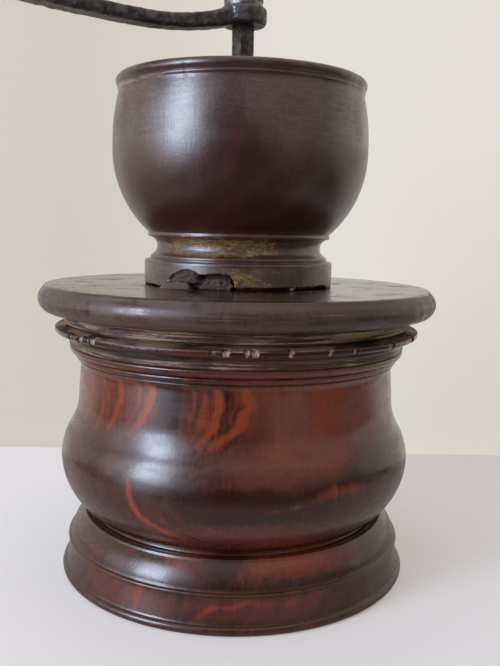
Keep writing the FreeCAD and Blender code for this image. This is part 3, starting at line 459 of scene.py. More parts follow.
class TurningLine:
    """The outline of a turned piece, walked in millimetres with a fine even pace."""

    PACE = 0.12

    def __init__(self, radius, level):
        self.radius = radius
        self.level = level
        self.points = [(radius, level)]

    def to(self, radius, level):
        """Straight on to a radius and level."""
        run = math.hypot(radius - self.radius, level - self.level)
        count = max(1, math.ceil(run / self.PACE))
        for step in range(1, count + 1):
            part = step / count
            self.points.append((
                self.radius + (radius - self.radius) * part, self.level + (level - self.level) * part))
        self.radius, self.level = radius, level

    def step(self, out, up):
        """Straight on by a run outward and a rise."""
        self.to(self.radius + out, self.level + up)

    def arc_to(self, via, end):
        """An arc through the point via."""
        a, b, c = Vector((self.radius, self.level)), Vector(via), Vector(end)
        double = 2.0 * (a.x * (b.y - c.y) + b.x * (c.y - a.y) + c.x * (a.y - b.y))
        middle = Vector((
            (a.dot(a) * (b.y - c.y) + b.dot(b) * (c.y - a.y) + c.dot(c) * (a.y - b.y)) / double,
            (a.dot(a) * (c.x - b.x) + b.dot(b) * (a.x - c.x) + c.dot(c) * (b.x - a.x)) / double))
        reach = (a - middle).length
        start, halfway, stop = (math.atan2(*(p - middle).yx) for p in (a, b, c))
        sweep = (stop - start) % math.tau
        if (halfway - start) % math.tau > sweep:
            sweep -= math.tau
        count = max(2, math.ceil(abs(sweep) * reach / self.PACE))
        for step in range(1, count + 1):
            angle = start + sweep * step / count
            self.points.append((middle.x + reach * math.cos(angle), middle.y + reach * math.sin(angle)))
        self.radius, self.level = end

    def round(self, out, up, bulge, rise=0.0):
        """An arc whose middle stands off the middle of its chord."""
        end = (self.radius + out, self.level + up)
        self.arc_to((self.radius + out / 2 + bulge, self.level + up / 2 + rise), end)

    def follow(self, profile):
        """Walks a whole profile, moulding by moulding."""
        for moulding, out, up, *bulge in profile:
            if bulge:
                self.round(out, up, *bulge)
            else:
                self.step(out, up)

    def softened(self, wear, closed):
        """The same points with every edge eased by handling."""
        reach = max(1, round(wear / self.PACE))
        count = len(self.points)
        weights = [reach + 1 - abs(offset) for offset in range(-reach, reach + 1)]
        total = sum(weights)
        eased = []
        for index, point in enumerate(self.points):
            if not closed and (index < reach or index >= count - reach):
                eased.append(point)
                continue
            spots = [self.points[(index + offset) % count] for offset in range(-reach, reach + 1)]
            eased.append(tuple(sum(w * p[axis] for w, p in zip(weights, spots)) / total for axis in (0, 1)))
        return eased


def unmarked(azimuth, radius, level):
    """A point that stays as it is turned."""
    return radius, level, {}


def within(zone, radius, level):
    """Whether a point of an outline lies in a zone of radii and levels."""
    inner, outer, low, high = zone
    return inner < radius < outer and low < level < high


def thinned(points, steps, slack=0.018):
    """Leaves out points of an outline that a straight face can stand for, up to its zone's longest step."""
    kept = [points[0]]
    start = 0
    index = 1
    while index < len(points):
        a, b = Vector(points[start]), Vector(points[index])
        chord = b - a
        length = chord.length
        off = 0.0
        if length > 1e-9:
            for between in points[start + 1:index]:
                offset = Vector(between) - a
                off = max(off, abs(offset.x * chord.y - offset.y * chord.x) / length)
        longest = next(step for zone, step in steps if within(zone, *points[start]))
        if index - 1 > start and (off > slack or length > longest):
            start = index - 1
            kept.append(points[start])
        else:
            index += 1
    kept.append(points[-1])
    return kept


def turned_mesh(
        name, line, turning, steps, share=1.0, fine=(NOWHERE, 1), closed=True, carve=unmarked, marks=(),
        centre=0.0):
    """Spins a turning line about an upright axis that stands at x = centre.

    There are share times the usual number of faces around, and in the fine zone so many times more. carve
    may move a point and gives its marks as {name: number}, which are kept at the vertices."""
    outline = thinned(line.softened(turning.edge_wear / MM, closed), steps)
    if closed and math.dist(outline[0], outline[-1]) < 0.05:
        outline.pop()
    zone, times = fine
    corners, painted, rings = [], [], []
    for radius, level in outline:
        first = len(corners)
        count = 1
        if radius > 1e-6:
            count = round(turning.divisions * share) * (times if within(zone, radius, level) else 1)
        for index in range(count):
            azimuth = 360.0 * index / count
            out, up, signs = carve(azimuth, radius, level)
            angle = math.radians(azimuth)
            corners.append(((centre + out * math.cos(angle)) * MM, out * math.sin(angle) * MM, up * MM))
            painted.append(signs)
        rings.append((first, count))
    faces = []
    following = rings[1:] + rings[:1] if closed else rings[1:]
    for low, high in zip(rings, following):
        faces.extend(band(*low, *high))
    mesh = bpy.data.meshes.new(name)
    mesh.from_pydata(corners, [], faces)
    for mark in marks:
        store = mesh.attributes.new(mark, "FLOAT", "POINT")
        store.data.foreach_set("value", [signs.get(mark, 0.0) for signs in painted])
    mesh.validate()
    mesh.shade_smooth()
    return mesh


def band(low, low_count, high, high_count):
    """Faces between two rings, one of which may be a point or a whole number of times finer."""
    if low_count == 1:
        return [(low, high + (i + 1) % high_count, high + i) for i in range(high_count)]
    if high_count == 1:
        return [(low + i, low + (i + 1) % low_count, high) for i in range(low_count)]
    if low_count == high_count:
        return [
            (low + i, low + (i + 1) % low_count, high + (i + 1) % low_count, high + i)
            for i in range(low_count)]
    faces = []
    coarse, fine = min(low_count, high_count), max(low_count, high_count)
    ratio = fine // coarse
    coarse_first, fine_first = (low, high) if low_count < high_count else (high, low)
    flip = low_count > high_count
    for i in range(coarse):
        here, there = coarse_first + i, coarse_first + (i + 1) % coarse
        fan = []
        for j in range(ratio):
            a = fine_first + i * ratio + j
            b = fine_first + (i * ratio + j + 1) % fine
            fan.append((here if j < ratio / 2 else there, b, a))
            if j == ratio // 2 - 1:
                fan.append((here, there, b))
        faces.extend(face[::-1] if flip else face for face in fan)
    return faces


def place_piece(mesh, name, body, node, finish):
    """Links a new piece into the scene, on its body and in place of its node."""
    piece = bpy.data.objects.new(name, mesh)
    bpy.context.scene.collection.objects.link(piece)
    mesh.materials.clear()
    mesh.materials.append(finish)
    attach(piece, body)
    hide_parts(node)


def rough(azimuth, radius, level, size, seed=0.0):
    """Even noise between about -1 and 1 on the turned surface, with marks of a given size."""
    angle = math.radians(azimuth)
    spot = Vector((radius * math.cos(angle), radius * math.sin(angle), level + seed))
    return noise.noise(spot / size)


def smooth(value, start, end):
    """0 at start and 1 at end, with a soft run between."""
    part = min(1.0, max(0.0, (value - start) / (end - start)))
    return part * part * (3.0 - 2.0 * part)


def apart(azimuth, middle):
    """How many degrees an azimuth lies from another, the shorter way round."""
    return (azimuth - middle + 180.0) % 360.0 - 180.0


def patched(patches, azimuth, level, ragged, start, end):
    """The sum of soft patches, each (share, azimuth, level, reach round, reach up), at one point."""
    total = 0.0
    for share, middle, height, reach_round, reach_up in patches:
        off = math.hypot(apart(azimuth, middle) / reach_round, (level - height) / reach_up)
        total += share * smooth(off + 0.3 * ragged, start, end)
    return total


def along(stations, place):
    """The height of a line given by (place, height) stations, or None beyond its ends."""
    for (a, low), (b, high) in zip(stations, stations[1:]):
        if a <= place <= b:
            return low + (high - low) * (place - a) / (b - a)
    return None


def nearest(stations, azimuth, level, radius, reach):
    """How far in millimetres a point of the surface is from a line of stations, and how far along the line
    that is, from 0 to 1. Beyond reach it gives None."""
    if not min(a for a, b in stations) - 6.0 < azimuth < max(a for a, b in stations) + 6.0:
        return None
    if not min(b for a, b in stations) - reach < level < max(b for a, b in stations) + reach:
        return None
    scale = math.radians(radius)
    here = Vector((azimuth * scale, level))
    found = None
    for index, ((a, low), (b, high)) in enumerate(zip(stations, stations[1:])):
        start, end = Vector((a * scale, low)), Vector((b * scale, high))
        run = end - start
        part = min(1.0, max(0.0, (here - start).dot(run) / run.length_squared))
        off = (here - start - run * part).length
        if off < reach and (found is None or off < found[0]):
            found = (off, (index + part) / (len(stations) - 1))
    return found


# Wood finishes

# tones of the wood that no setting changes
PORE = (0.018, 0.006, 0.004)
BARREL_PORE = (0.012, 0.003, 0.002)
DARK_LINE = (0.018, 0.008, 0.006)
# the disc's front lip: rubbed wood and a painted highlight along its edge
LIP_WEAR_AND_HIGHLIGHT = (0.22, 0.13, 0.07)
FRESH_CHIP = (0.40, 0.34, 0.28)
OLD_GLUE = (0.055, 0.033, 0.026)
SCUFF = (0.17, 0.105, 0.08)
SAPWOOD_SPECK = (0.26, 0.10, 0.028)
SAPWOOD_VEIN = (0.085, 0.045, 0.018)
BROKEN_HOLLOW = (0.026, 0.011, 0.008)
# rubbed wood on the rim, and the painted highlight on the neck bead's crest
RIM_WEAR_AND_BEAD_HIGHLIGHT = (0.20, 0.105, 0.055)
# how the bowl's grain and its bloom lie askew, as turns about the three axes in radians
GRAIN_TURN = (0.5, 0.35, 0.0)
BLOOM_TURN = (0.6, 0.3, 0.0)


def barrel_finish(look):
    """Glossy dark heartwood, with orange flames where the growth rings meet the turned surface."""
    finish = Finish("barrel_heartwood")
    grain = fibres(finish)
    cloud = finish.noise(0.09, 3.0, stretch=(1.0, 1.0, 0.6))
    streak = finish.noise(0.75, 5.0, 0.7, stretch=(1.0, 1.0, 0.05))
    smear = finish.noise(0.12, 3.0, stretch=(1.0, 1.0, 3.0))
    rings = finish.math("SINE", growth(finish, look, 2.5) * 4.6)
    # the painted warmth also darkens, and holds painted shade at the front of the lower belly
    warmth_and_shade = finish.painted("warmth_and_shade") + (cloud - 0.5) + (streak - 0.5) * 1.5 + rings * 0.10
    colour = finish.tint(look.dark, look.warm, warmth_and_shade, -0.45, 0.75)
    colour = finish.tint(colour, look.pale, warmth_and_shade, 0.70, 1.9)
    flame = finish.painted("orange") + (streak - 0.5) * 0.9 + (grain - 0.5) * 0.35
    colour = finish.tint(colour, look.flame, flame, 0.15, 0.85)
    colour = finish.blend(pores(finish) * 0.3, colour, BARREL_PORE)
    roughness = finish.fade(
        smear + (streak - 0.5) * 0.5, 0.3, 0.75, look.roughness - 0.09, look.roughness + 0.08)
    return finish.surface({
        "Base Color": colour, "Roughness": roughness, "IOR": 1.45, "Normal": finish.bump(grain, 0.035),
        "Coat Weight": 0.4, "Coat Roughness": 0.2, "Coat IOR": 1.5})


def head_finish(look):
    """Nearly black polish on the wide disc, dull with bloom, with dust in the mouldings and bare chips."""
    finish = Finish("head_heartwood")
    wave = finish.noise(0.10, 3.0, stretch=(1.0, 1.0, 0.3))
    line = finish.noise(0.5, 3.0, stretch=(1.0, 1.0, 0.2))
    layers = finish.noise(0.55, 4.0, 0.6, stretch=(0.10, 0.10, 3.4))
    specks = finish.noise(0.7, 4.0, 0.7, stretch=(1.0, 1.0, 2.6))
    smear = finish.noise(0.07, 3.0)
    rings = finish.math("SINE", growth(finish, look, 6.0) * 0.37 + wave * 3.0)
    colour = finish.blend(finish.fade(rings, 0.45, 1.0) * 0.6, look.dark, look.warm)
    bloom = finish.painted("bloom") + (wave - 0.5) * 1.2 + (line - 0.5) * 0.8 + (layers - 0.5) * 0.9
    bloom = finish.fade(bloom, 0.1, 1.1)
    colour = finish.blend(bloom, colour, look.bloom)
    colour = finish.blend(finish.fade(line, 0.55, 0.75) * 0.35, colour, DARK_LINE)
    dust = finish.painted("dust")
    dusty = finish.fade(dust + (layers - 0.5) * 3.6 + (specks - 0.5) * 1.2, 0.60, 1.25)
    colour = finish.blend(dusty * 0.85, colour, look.dust)
    # the front lip's lighter line is rubbed wood and a painted highlight
    colour = finish.tint(colour, LIP_WEAR_AND_HIGHLIGHT, finish.painted("worn") + (specks - 0.5) * 1.4, 0.45, 0.95)
    colour = finish.tint(colour, FRESH_CHIP, finish.painted("fresh") + (specks - 0.5) * 0.8, 0.35, 0.7)
    glue = finish.painted("glue")
    colour = finish.blend(glue, colour, OLD_GLUE)
    roughness = finish.fade(
        dust + (smear - 0.5) * 0.5 + bloom * 0.75 - glue, 0.0, 0.9, look.roughness - 0.14, 0.7)
    normal = finish.bump(specks, 0.06, finish.bump(fibres(finish), 0.03))
    return finish.surface({
        "Base Color": colour, "Roughness": roughness, "IOR": 1.55, "Normal": normal,
        "Coat Weight": 0.15, "Coat Roughness": 0.2, "Coat IOR": 1.5})


def bloomed_wood(finish, look, grain, wave, bloom):
    """Dark red heartwood under a dull bloom that is scuffed where it lies thickest."""
    lean = (0.25, -0.1)
    rings = finish.math("SINE", growth(finish, look, 9.0, lean) * 0.9 + wave * 4.0)
    colour = finish.blend(finish.fade(rings, 0.2, 1.0) * 0.18 + (grain - 0.35) * 0.6, look.dark, look.warm)
    colour = finish.tint(colour, look.bloom, bloom, 0.0, 1.0)
    scuff = finish.noise(0.8, 4.0, 0.7, stretch=(1.0, 1.0, 0.4))
    colour = finish.tint(colour, SCUFF, bloom + (scuff - 0.5) * 2.4, 1.0, 2.0)
    return finish.blend(pores(finish, turn=GRAIN_TURN) * 0.3, colour, PORE)


def sapwood_over(finish, look, colour, pale, veins, specks):
    """A colour that gives way to veined yellow sapwood."""
    gold = finish.fade(pale * 1.1 + (veins - 0.5) * 3.0, 0.35, 0.95) * finish.fade(pale, 0.02, 0.25)
    tone = finish.blend(specks, look.sapwood, SAPWOOD_SPECK)
    tone = finish.tint(tone, SAPWOOD_VEIN, veins, 0.62, 0.45)
    return finish.blend(gold, colour, tone)


def bowl_finish(look):
    """Dull plum-brown bloom over dark red heartwood, with sapwood in the neck and collar."""
    finish = Finish("bowl_heartwood")
    grain = fibres(finish, turn=GRAIN_TURN)
    wave = finish.noise(0.07, 3.0, stretch=(1.0, 1.0, 0.5), turn=BLOOM_TURN)
    haze = finish.noise(0.16, 3.0, stretch=(1.0, 1.0, 0.5), turn=BLOOM_TURN)
    scratch = finish.noise(1.5, 4.0, 0.7, stretch=(0.08, 1.0, 1.0), turn=(0.9, 0.7, 0.5))
    rubbed = finish.noise(1.1, 4.0, 0.7, stretch=(0.15, 0.15, 1.0), turn=(0.15, 0.1, 0.0))
    veins = finish.noise(0.42, 4.0, 0.7, 1.4, stretch=(1.0, 1.0, 2.4))
    fibre = finish.noise(0.6, 4.0, 0.7, stretch=(1.0, 1.0, 4.0))
    specks = finish.noise(1.3, 3.0, 0.7)
    pale = finish.painted("sapwood")
    bare = finish.painted("broken")
    bloom = finish.painted("bloom") + (wave - 0.5) * 0.6 + (grain - 0.5) * 0.5 + (scratch - 0.5) * 0.5
    colour = bloomed_wood(finish, look, grain, wave, bloom)
    colour = sapwood_over(finish, look, colour, pale, veins, specks)
    colour = finish.blend(bare, colour, finish.tint(look.broken, BROKEN_HOLLOW, fibre, 0.35, 0.65))
    # the rim's rubbed wood, and a painted highlight along the neck bead's crest
    colour = finish.tint(colour, RIM_WEAR_AND_BEAD_HIGHLIGHT, finish.painted("worn") + (specks - 0.5) * 1.2, 0.4, 0.9)
    roughness = finish.fade(
        bare + (scratch - 0.5) * 0.9 + (rubbed - 0.5) * 0.5 + bloom * 0.10, 0.0, 1.0, look.roughness, 0.85)
    gloss = finish.fade((scratch + rubbed) * 0.7 + haze * 0.6, 0.82, 1.18, 0.1, 0.85)
    gloss = gloss * finish.fade(bare, 0.5, 0.0) * finish.fade(finish.painted("dull"), 0.0, 1.0, 1.0, 0.35)
    normal = finish.bump(scratch, 0.06, finish.bump(grain, 0.03))
    normal = finish.bump(veins * finish.fade(pale, 0.0, 0.3), 0.10, normal)
    normal = finish.bump(fibre * bare, 0.3, normal)
    return finish.surface({
        "Base Color": colour, "Roughness": roughness, "IOR": 1.6, "Normal": normal,
        "Coat Weight": gloss, "Coat Roughness": 0.34, "Coat IOR": 1.5})


def knob_finish(look):
    """The knob's heartwood, rubbed smooth by the hand."""
    finish = Finish("knob_heartwood")
    grain = fibres(finish)
    rings = finish.math("SINE", growth(finish, look, 3.0) * 1.4)
    colour = finish.blend(finish.fade(rings, 0.1, 1.0) * 0.7, look.dark, look.warm)
    colour = finish.blend(pores(finish) * 0.4, colour, PORE)
    roughness = finish.fade(grain, 0.3, 0.7, look.roughness - 0.06, look.roughness + 0.04)
    return finish.surface({
        "Base Color": colour, "Roughness": roughness, "IOR": 1.55, "Normal": finish.bump(grain, 0.04),
        "Coat Weight": 0.4, "Coat Roughness": 0.15, "Coat IOR": 1.6})


# Metal finishes


def iron_finish(look, name, bright, pits):
    """Old iron: dark scale, rust in the pits, and bare grey where it is rubbed."""
    finish = Finish(name)
    coarse = finish.noise(0.35, 4.0, 0.6)
    fine = finish.noise(1.6, 4.0, 0.65)
    pit = finish.fade(fine, 0.36, 0.52)
    colour = finish.tint(look.scale, look.worn, coarse, 0.35, 0.65)
    colour = finish.blend(finish.fade(pit, 1.0, 0.0) * 0.65, colour, look.rust)
    return finish.surface({
        "Base Color": colour, "Metallic": finish.fade(pit * coarse, 0.15, 0.5, 0.35, bright),
        "Roughness": finish.fade(fine, 0.3, 0.7, 0.52, 0.34),
        "Normal": finish.bump(pit, pits * 0.5, finish.bump(coarse, pits))})


def steel_finish():
    """Dull steel of screws, washers and nuts, with scratches and dark hollows."""
    finish = Finish("dull_steel")
    scratch = finish.noise(1.2, 4.0, 0.7, stretch=(1.0, 6.0, 6.0), turn=(0.3, 0.8, 0.4))
    bright, hollow = (0.26, 0.25, 0.24), (0.12, 0.10, 0.09)
    colour = finish.tint(bright, hollow, finish.noise(0.6, 3.0), 0.4, 0.65)
    return finish.surface({
        "Base Color": colour, "Metallic": 0.9, "Roughness": finish.fade(scratch, 0.3, 0.7, 0.34, 0.52),
        "Normal": finish.bump(scratch, 0.03)})


def brass_finish(look):
    """Tarnished brass."""
    finish = Finish("tarnished_brass")
    patch = finish.noise(0.5, 4.0)
    turned = finish.noise(1.4, stretch=(0.2, 0.2, 3.0))
    tarnish = (0.20, 0.12, 0.045)
    return finish.surface({
        "Base Color": finish.tint(look.brass, tarnish, patch, 0.35, 0.65), "Metallic": 1.0,
        "Roughness": finish.fade(patch, 0.3, 0.7, 0.30, 0.50), "Normal": finish.bump(turned, 0.02)})


# Turned wood pieces


# orange flames in front of the barrel: (half width, strength, stations of azimuth and level)
BARREL_FLAMES = (
    (0.5, 0.60, ((177, 76), (181, 72), (182.5, 68), (180.5, 62), (177, 58))),
    (0.6, 0.75, ((186.5, 76), (190, 72), (191.5, 68), (189, 62), (186, 58))),
    (0.4, 0.55, ((192, 77), (194.5, 72), (193.5, 66), (190.5, 60.5))),
    (0.9, 0.95, ((195.5, 77), (199, 72), (199, 68), (196.5, 63), (193.5, 58.5))),
    (0.6, 0.80, ((204, 77), (206.5, 72.5), (205.8, 67), (203, 61.5))),
    (0.4, 0.55, ((200.5, 76), (203, 71), (202, 65), (199, 60))),
    (1.1, 1.00, ((208, 78), (211, 73), (210.5, 68), (207.5, 63), (203, 58.5))),
    (0.5, 0.45, ((224, 77), (226, 71), (224.5, 65), (222, 60))),
    (1.5, 0.55, ((226.5, 77), (229, 71), (228.5, 65), (226, 60), (222, 55.5))),
    (1, 0.95, ((229.5, 78), (233, 73), (234, 69), (232.5, 64.5), (230, 60.5), (227.5, 57))),
    (1.3, 1.00, ((238, 78), (241.5, 73.5), (242.5, 69.5), (240.5, 65), (237, 60.5), (232, 57))),
    (0.5, 0.55, ((236.5, 77.5), (238.5, 72), (238, 67), (235.5, 62.5))),
    (0.6, 0.40, ((247.5, 77), (250, 73), (249, 66))),
    (2, 0.85, ((263, 78), (266, 72), (266.5, 66), (265, 59))),
    (1.6, 0.80, ((271, 78), (272.5, 71), (271.5, 65), (269, 60))),
    (0.5, 0.45, ((262, 57.5), (266, 58.5), (271, 58.3), (279, 57))),
    (0.4, 0.35, ((232, 56.5), (238, 55.5), (246, 56), (256, 54.5))),
    (1.5, 0.60, ((259, 41.5), (266, 43.2), (273, 43.4), (283, 42))),
    (0.6, 0.45, ((247, 38.5), (255, 40), (263, 40.2))),
    (0.9, 0.80, ((206.5, 47), (207.5, 42.5), (208.5, 38), (211.5, 34), (217.5, 30.5), (224, 28.5))),
    (0.4, 0.35, ((212, 41), (214, 37), (218, 34), (225, 31.5))),
    (0.4, 0.40, ((224, 38), (229, 34.5), (236, 31), (243, 28.5))),
    (0.4, 0.35, ((230, 44), (234, 46), (239, 49))),
    (1.4, 0.35, ((222, 24.5), (240, 26), (254, 26.5), (269.5, 27), (290, 27.5))),
    (0.9, 0.55, ((214.5, 22), (217, 19.8), (220.5, 18.6), (223.5, 19.6), (225, 21.6))),
    (0.5, 0.40, ((219, 22), (221.5, 20.6), (222.5, 22.2))),
    (0.8, 0.35, ((198, 20), (201.5, 18.6), (203, 21.6))),
    (2.6, 0.50, ((240.5, 16.6), (247.5, 18.8), (256, 20.2), (266, 20), (284, 19.8))),
    (1.3, 0.45, ((246, 15.2), (254, 17), (264, 17.6), (276, 17.2))),
    (1.1, 0.60, ((210, 11.4), (208.8, 8), (208, 4.6))),
    (0.6, 0.65, ((226.5, 3.8), (229.5, 6.4), (233, 8.6), (238, 8.3), (243.5, 10.3), (249, 9.4))),
    (1.1, 0.45, ((238, 8.8), (245, 9.6), (253, 8.8), (264, 9.8), (271, 11.2))),
    (0.7, 0.40, ((220, 78.8), (234, 78), (250, 77.8))),
)
# warmer and darker places on the barrel: (warmth, azimuth, level, reach round, reach up); the dark patch at
# the front of the lower belly, over the foot, is painted shade
BARREL_WARMTH_AND_SHADE = (
    (1.7, 268, 66, 34, 17), (1, 183, 68, 24, 12), (0.9, 296, 70, 24, 14),
    (-0.75, 217.5, 68, 5, 12), (-0.6, 236.5, 69, 3, 8), (0.45, 206, 68, 8, 10),
    (0.5, 228, 64, 9, 11), (0.8, 256, 52.5, 28, 6.5),
    # painted shade: the darker patch at the front of the lower belly, over the foot
    (-0.9, 238, 40.5, 19, 5.5), (-0.7, 216, 44.5, 16, 3), (-0.6, 236.5, 19.5, 6.5, 4.5),
    (-0.6, 278, 48, 10, 3), (0.35, 240, 79.5, 60, 2.5), (0.7, 250, 31, 34, 4),
    (-0.5, 250, 14.5, 50, 1.6), (1.2, 266, 19.5, 26, 4), (0.6, 250, 8, 24, 4),
    (0.7, 205, 8, 18, 4), (0.6, 222, 20, 8, 3),
)
# growth rings by their distance from the heart of the tree: (millimetres, how orange)
GROWTH_RINGS = (
    (30, 0.1), (36, 0.5), (36.9, 0.1), (39.6, 0.4), (40.5, 0), (44, 0.3), (45.2, 0), (47, 0.5),
    (48, 0.1), (50.3, 0.6), (50.9, 0.1), (51.7, 0.8), (52.6, 0.1), (53.6, 0.9), (54.2, 0.4), (54.8, 0.8),
    (56.2, 0), (58.2, 0.1), (59.4, 0.5), (60.2, 0.9), (60.9, 0), (61.6, 0.3), (62.1, 1), (62.8, 0.2),
    (64.5, 0.4), (66, 0.3), (66.7, 0.8), (67.6, 0.4), (69, 0.1), (70.4, 0.5), (71, 0.1), (71.8, 0.7),
    (73, 0.1), (76, 0.3), (84, 0))


def ring_flame(pith, azimuth, spot, slow, fibre):
    """How orange the growth rings are where they meet the barrel's surface."""
    rings = math.hypot(spot.x - pith.x, spot.y - pith.y) + 2.2 * slow + 0.25 * fibre
    facing = smooth(abs(azimuth - FRONT), 96.0, 72.0)
    cloud = noise.noise(Vector((spot.x, spot.y, spot.z * 1.6)) / 21.0 + Vector((5.0, 0.0, 0.0)))
    return (0.85 - 0.65 * facing) * smooth(cloud, -0.3, 0.3) * along(GROWTH_RINGS, rings)


def placed_flame(azimuth, radius, spot, fibre):
    """How orange the strongest of the placed flames is at a point of the barrel."""
    bent = azimuth + 1.1 * noise.noise(Vector((spot.x / 14.0, spot.y / 14.0, spot.z / 4.0)))
    flame = 0.0
    for half_width, strength, stations in BARREL_FLAMES:
        close = nearest(stations, bent, spot.z, radius, half_width * 2.5 + 1.6)
        if close:
            off, place = close
            strength *= smooth(place, 0.0, 0.3) * smooth(place, 1.0, 0.65) * 0.35 + 0.65
            strength *= 1.0 + 0.35 * noise.noise(Vector((place * 4.0, half_width * 9.0, azimuth / 9.0)))
            body = smooth(off + 0.25 * fibre, half_width * 2.5, 0.0)
            echo = 0.40 * smooth(abs(off - half_width * 1.9 - 0.9), 0.6, 0.1)
            flame = max(flame, strength * max(body, echo))
    return flame


def carve_barrel(pith, azimuth, radius, level):
    """Marks how orange and warm the wood is, with painted shade on the lower belly's front; its shape stays
    as turned.
    """
    if radius < BARREL_WALL:
        return radius, level, {}
    angle = math.radians(azimuth)
    spot = Vector((radius * math.cos(angle), radius * math.sin(angle), level))
    fibre = noise.noise(Vector((spot.x, spot.y, level * 0.2)) / 1.6)
    slow = noise.noise(spot / 24.0)
    flame = max(ring_flame(pith, azimuth, spot, slow, fibre), placed_flame(azimuth, radius, spot, fibre))
    flame *= 1.0 - 0.75 * smooth(level, 73.4, 75.2)
    return radius, level, {
        "orange": flame, "warmth_and_shade": patched(BARREL_WARMTH_AND_SHADE, azimuth, level, slow, 1.3, 0.3)}


class MILL_OT_turn_barrel(bpy.types.Operator):
    """Turn the bellied receiver on its moulded foot"""

    bl_idname = "mill.turn_barrel"
    bl_label = "Turn the barrel"

    def execute(self, context):
        looks = context.scene.mill_looks
        line = TurningLine(0.0, 0.0)
        line.to(FOOT_RADIUS, 0.0)
        line.follow(BARREL_PROFILE)
        line.to(MOUTH_RADIUS, BARREL_TOP)
        line.step(0.0, -MOUTH_DEPTH)
        line.to(CAVITY_RADIUS, BARREL_TOP - MOUTH_DEPTH)
        line.to(CAVITY_RADIUS, CAVITY_FLOOR + CAVITY_FILLET)
        bend = round(CAVITY_FILLET * (math.sqrt(0.5) - 0.5), 3)
        line.round(-CAVITY_FILLET, -CAVITY_FILLET, bend, -bend)
        line.to(0.0, CAVITY_FLOOR)
        mesh = turned_mesh(
            "barrel", line, looks.turning, BARREL_STEPS, share=1.2, closed=False,
            carve=partial(carve_barrel, heart(looks.wood)), marks=("orange", "warmth_and_shade"))
        place_piece(
            mesh, "turned_barrel", "receiver", "receiver_barrel", barrel_finish(looks.wood))
        return {"FINISHED"}


# chips along the thin flange: (azimuth, half width in degrees, depth as a share of the full one)
FLANGE_CHIPS = (
    (182.8, 1, 0.6), (189, 1.2, 0.9), (194.8, 1.5, 1), (232, 0.8, 0.4), (235.4, 1.2, 1),
    (240.9, 0.6, 0.6), (242.8, 1, 1), (252.4, 0.7, 0.8), (263.6, 0.8, 0.9), (271.6, 0.7, 0.8),
    (287, 1.8, 0.5), (303, 1.6, 1.4), (24, 2, 0.8), (71, 1.2, 0.7), (118, 2.2, 0.9), (152, 1.2, 0.5),
)


def chipped(depth, azimuth, radius, level):
    """Bites the chips out of the flange's edge: (radius, level, how fresh the wood is)."""
    fresh = 0.0
    brim = smooth(radius, 61.0, 63.6)
    jag = rough(azimuth, FLANGE_RADIUS, level, 1.3)
    for middle, width, share in FLANGE_CHIPS:
        off = abs(apart(azimuth, middle)) / width
        if off < 1.6:
            bite = share * smooth(off + jag * 0.45, 1.0, 0.55) * brim
            bare = smooth(off + jag * 0.45, 0.95, 0.7) * smooth(radius, 62.4, 63.6)
            fresh = max(fresh, bare * min(1.0, share))
            radius -= depth * bite
            if level > FLANGE_SHOULDER:
                level -= 0.5 * bite
    return radius + 0.06 * jag * brim, level, fresh


def grimy(azimuth, radius, level):
    """How much dust lies in the mouldings under the disc."""
    dust = 0.75 * smooth(level, 83.5, 82.9) + 1.1 * smooth(level, 86.4, 87.4) * smooth(level, 92.8, 91.5)
    return max(0.0, dust * (0.75 + 0.5 * rough(azimuth, radius, level * 2.0, 9.0)))


def glued(azimuth, radius, level):
    """Raises the old glue that ran out under the break: (level, how much of it is glue)."""
    bead = smooth(abs(radius - GLUE_RADIUS - 0.4 * rough(azimuth, radius, level, 4.0)), 2.3, 0.6)
    bead *= smooth(abs(azimuth - GLUE_AZIMUTH), 11.0, 7.0)
    return level + bead * (2.3 + 0.8 * rough(azimuth, radius, level, 1.6)), smooth(bead, 0.05, 0.3)


def lip_wear_and_highlight(azimuth, radius, level):
    """How light the disc's front lip is: rubbed bare wood, and a painted highlight along its edge."""
    lip = smooth(abs(radius - LIP_RADIUS), 0.7, 0.1) * smooth(level, 100.6, 101.2)
    return lip * smooth(abs(azimuth - FRONT), 40.0, 15.0) * (0.7 + 0.6 * rough(azimuth, radius, level, 7.0))


def carve_head(depth, azimuth, radius, level):
    """Chips the flange, raises the glue, and marks dust, bloom, and the front lip's wear and painted
    highlight.
    """
    signs = {}
    if within(FLANGE, radius, level):
        radius, level, signs["fresh"] = chipped(depth, azimuth, radius, level)
    if within(UNDER_DISC, radius, level):
        signs["dust"] = grimy(azimuth, radius, level)
    if level > 92.0 and radius > 34.0:
        signs["bloom"] = 0.7 if radius > 62.0 and level < 101.0 else 0.3
    if within(GLUE_RING, radius, level):
        level, signs["glue"] = glued(azimuth, radius, level)
    signs["worn"] = lip_wear_and_highlight(azimuth, radius, level)
    return radius, level, signs


class MILL_OT_turn_head(bpy.types.Operator):
    """Turn the wide moulded disc with its chipped flange"""

    bl_idname = "mill.turn_head"
    bl_label = "Turn the head"

    def execute(self, context):
        looks = context.scene.mill_looks
        line = TurningLine(JOINT_RADIUS, BARREL_TOP)
        line.follow(HEAD_PROFILE)
        line.to(SPIGOT_HOLE, DISC_TOP)
        line.to(SPIGOT_HOLE, SPIGOT_SEAT)
        line.to(HEAD_BORE, SPIGOT_SEAT)
        line.to(HEAD_BORE, TENON_FOOT)
        line.to(TENON_RADIUS - TENON_CHAMFER, TENON_FOOT)
        line.step(TENON_CHAMFER, TENON_CHAMFER)
        line.to(TENON_RADIUS, BARREL_TOP)
        line.to(JOINT_RADIUS, BARREL_TOP)
        mesh = turned_mesh(
            "head", line, looks.turning, HEAD_STEPS, fine=HEAD_FINE,
            carve=partial(carve_head, looks.turning.chip_depth / MM),
            marks=("fresh", "dust", "bloom", "worn", "glue"))
        place_piece(mesh, "turned_head", "head", "mill_head", head_finish(looks.wood))
        return {"FINISHED"}


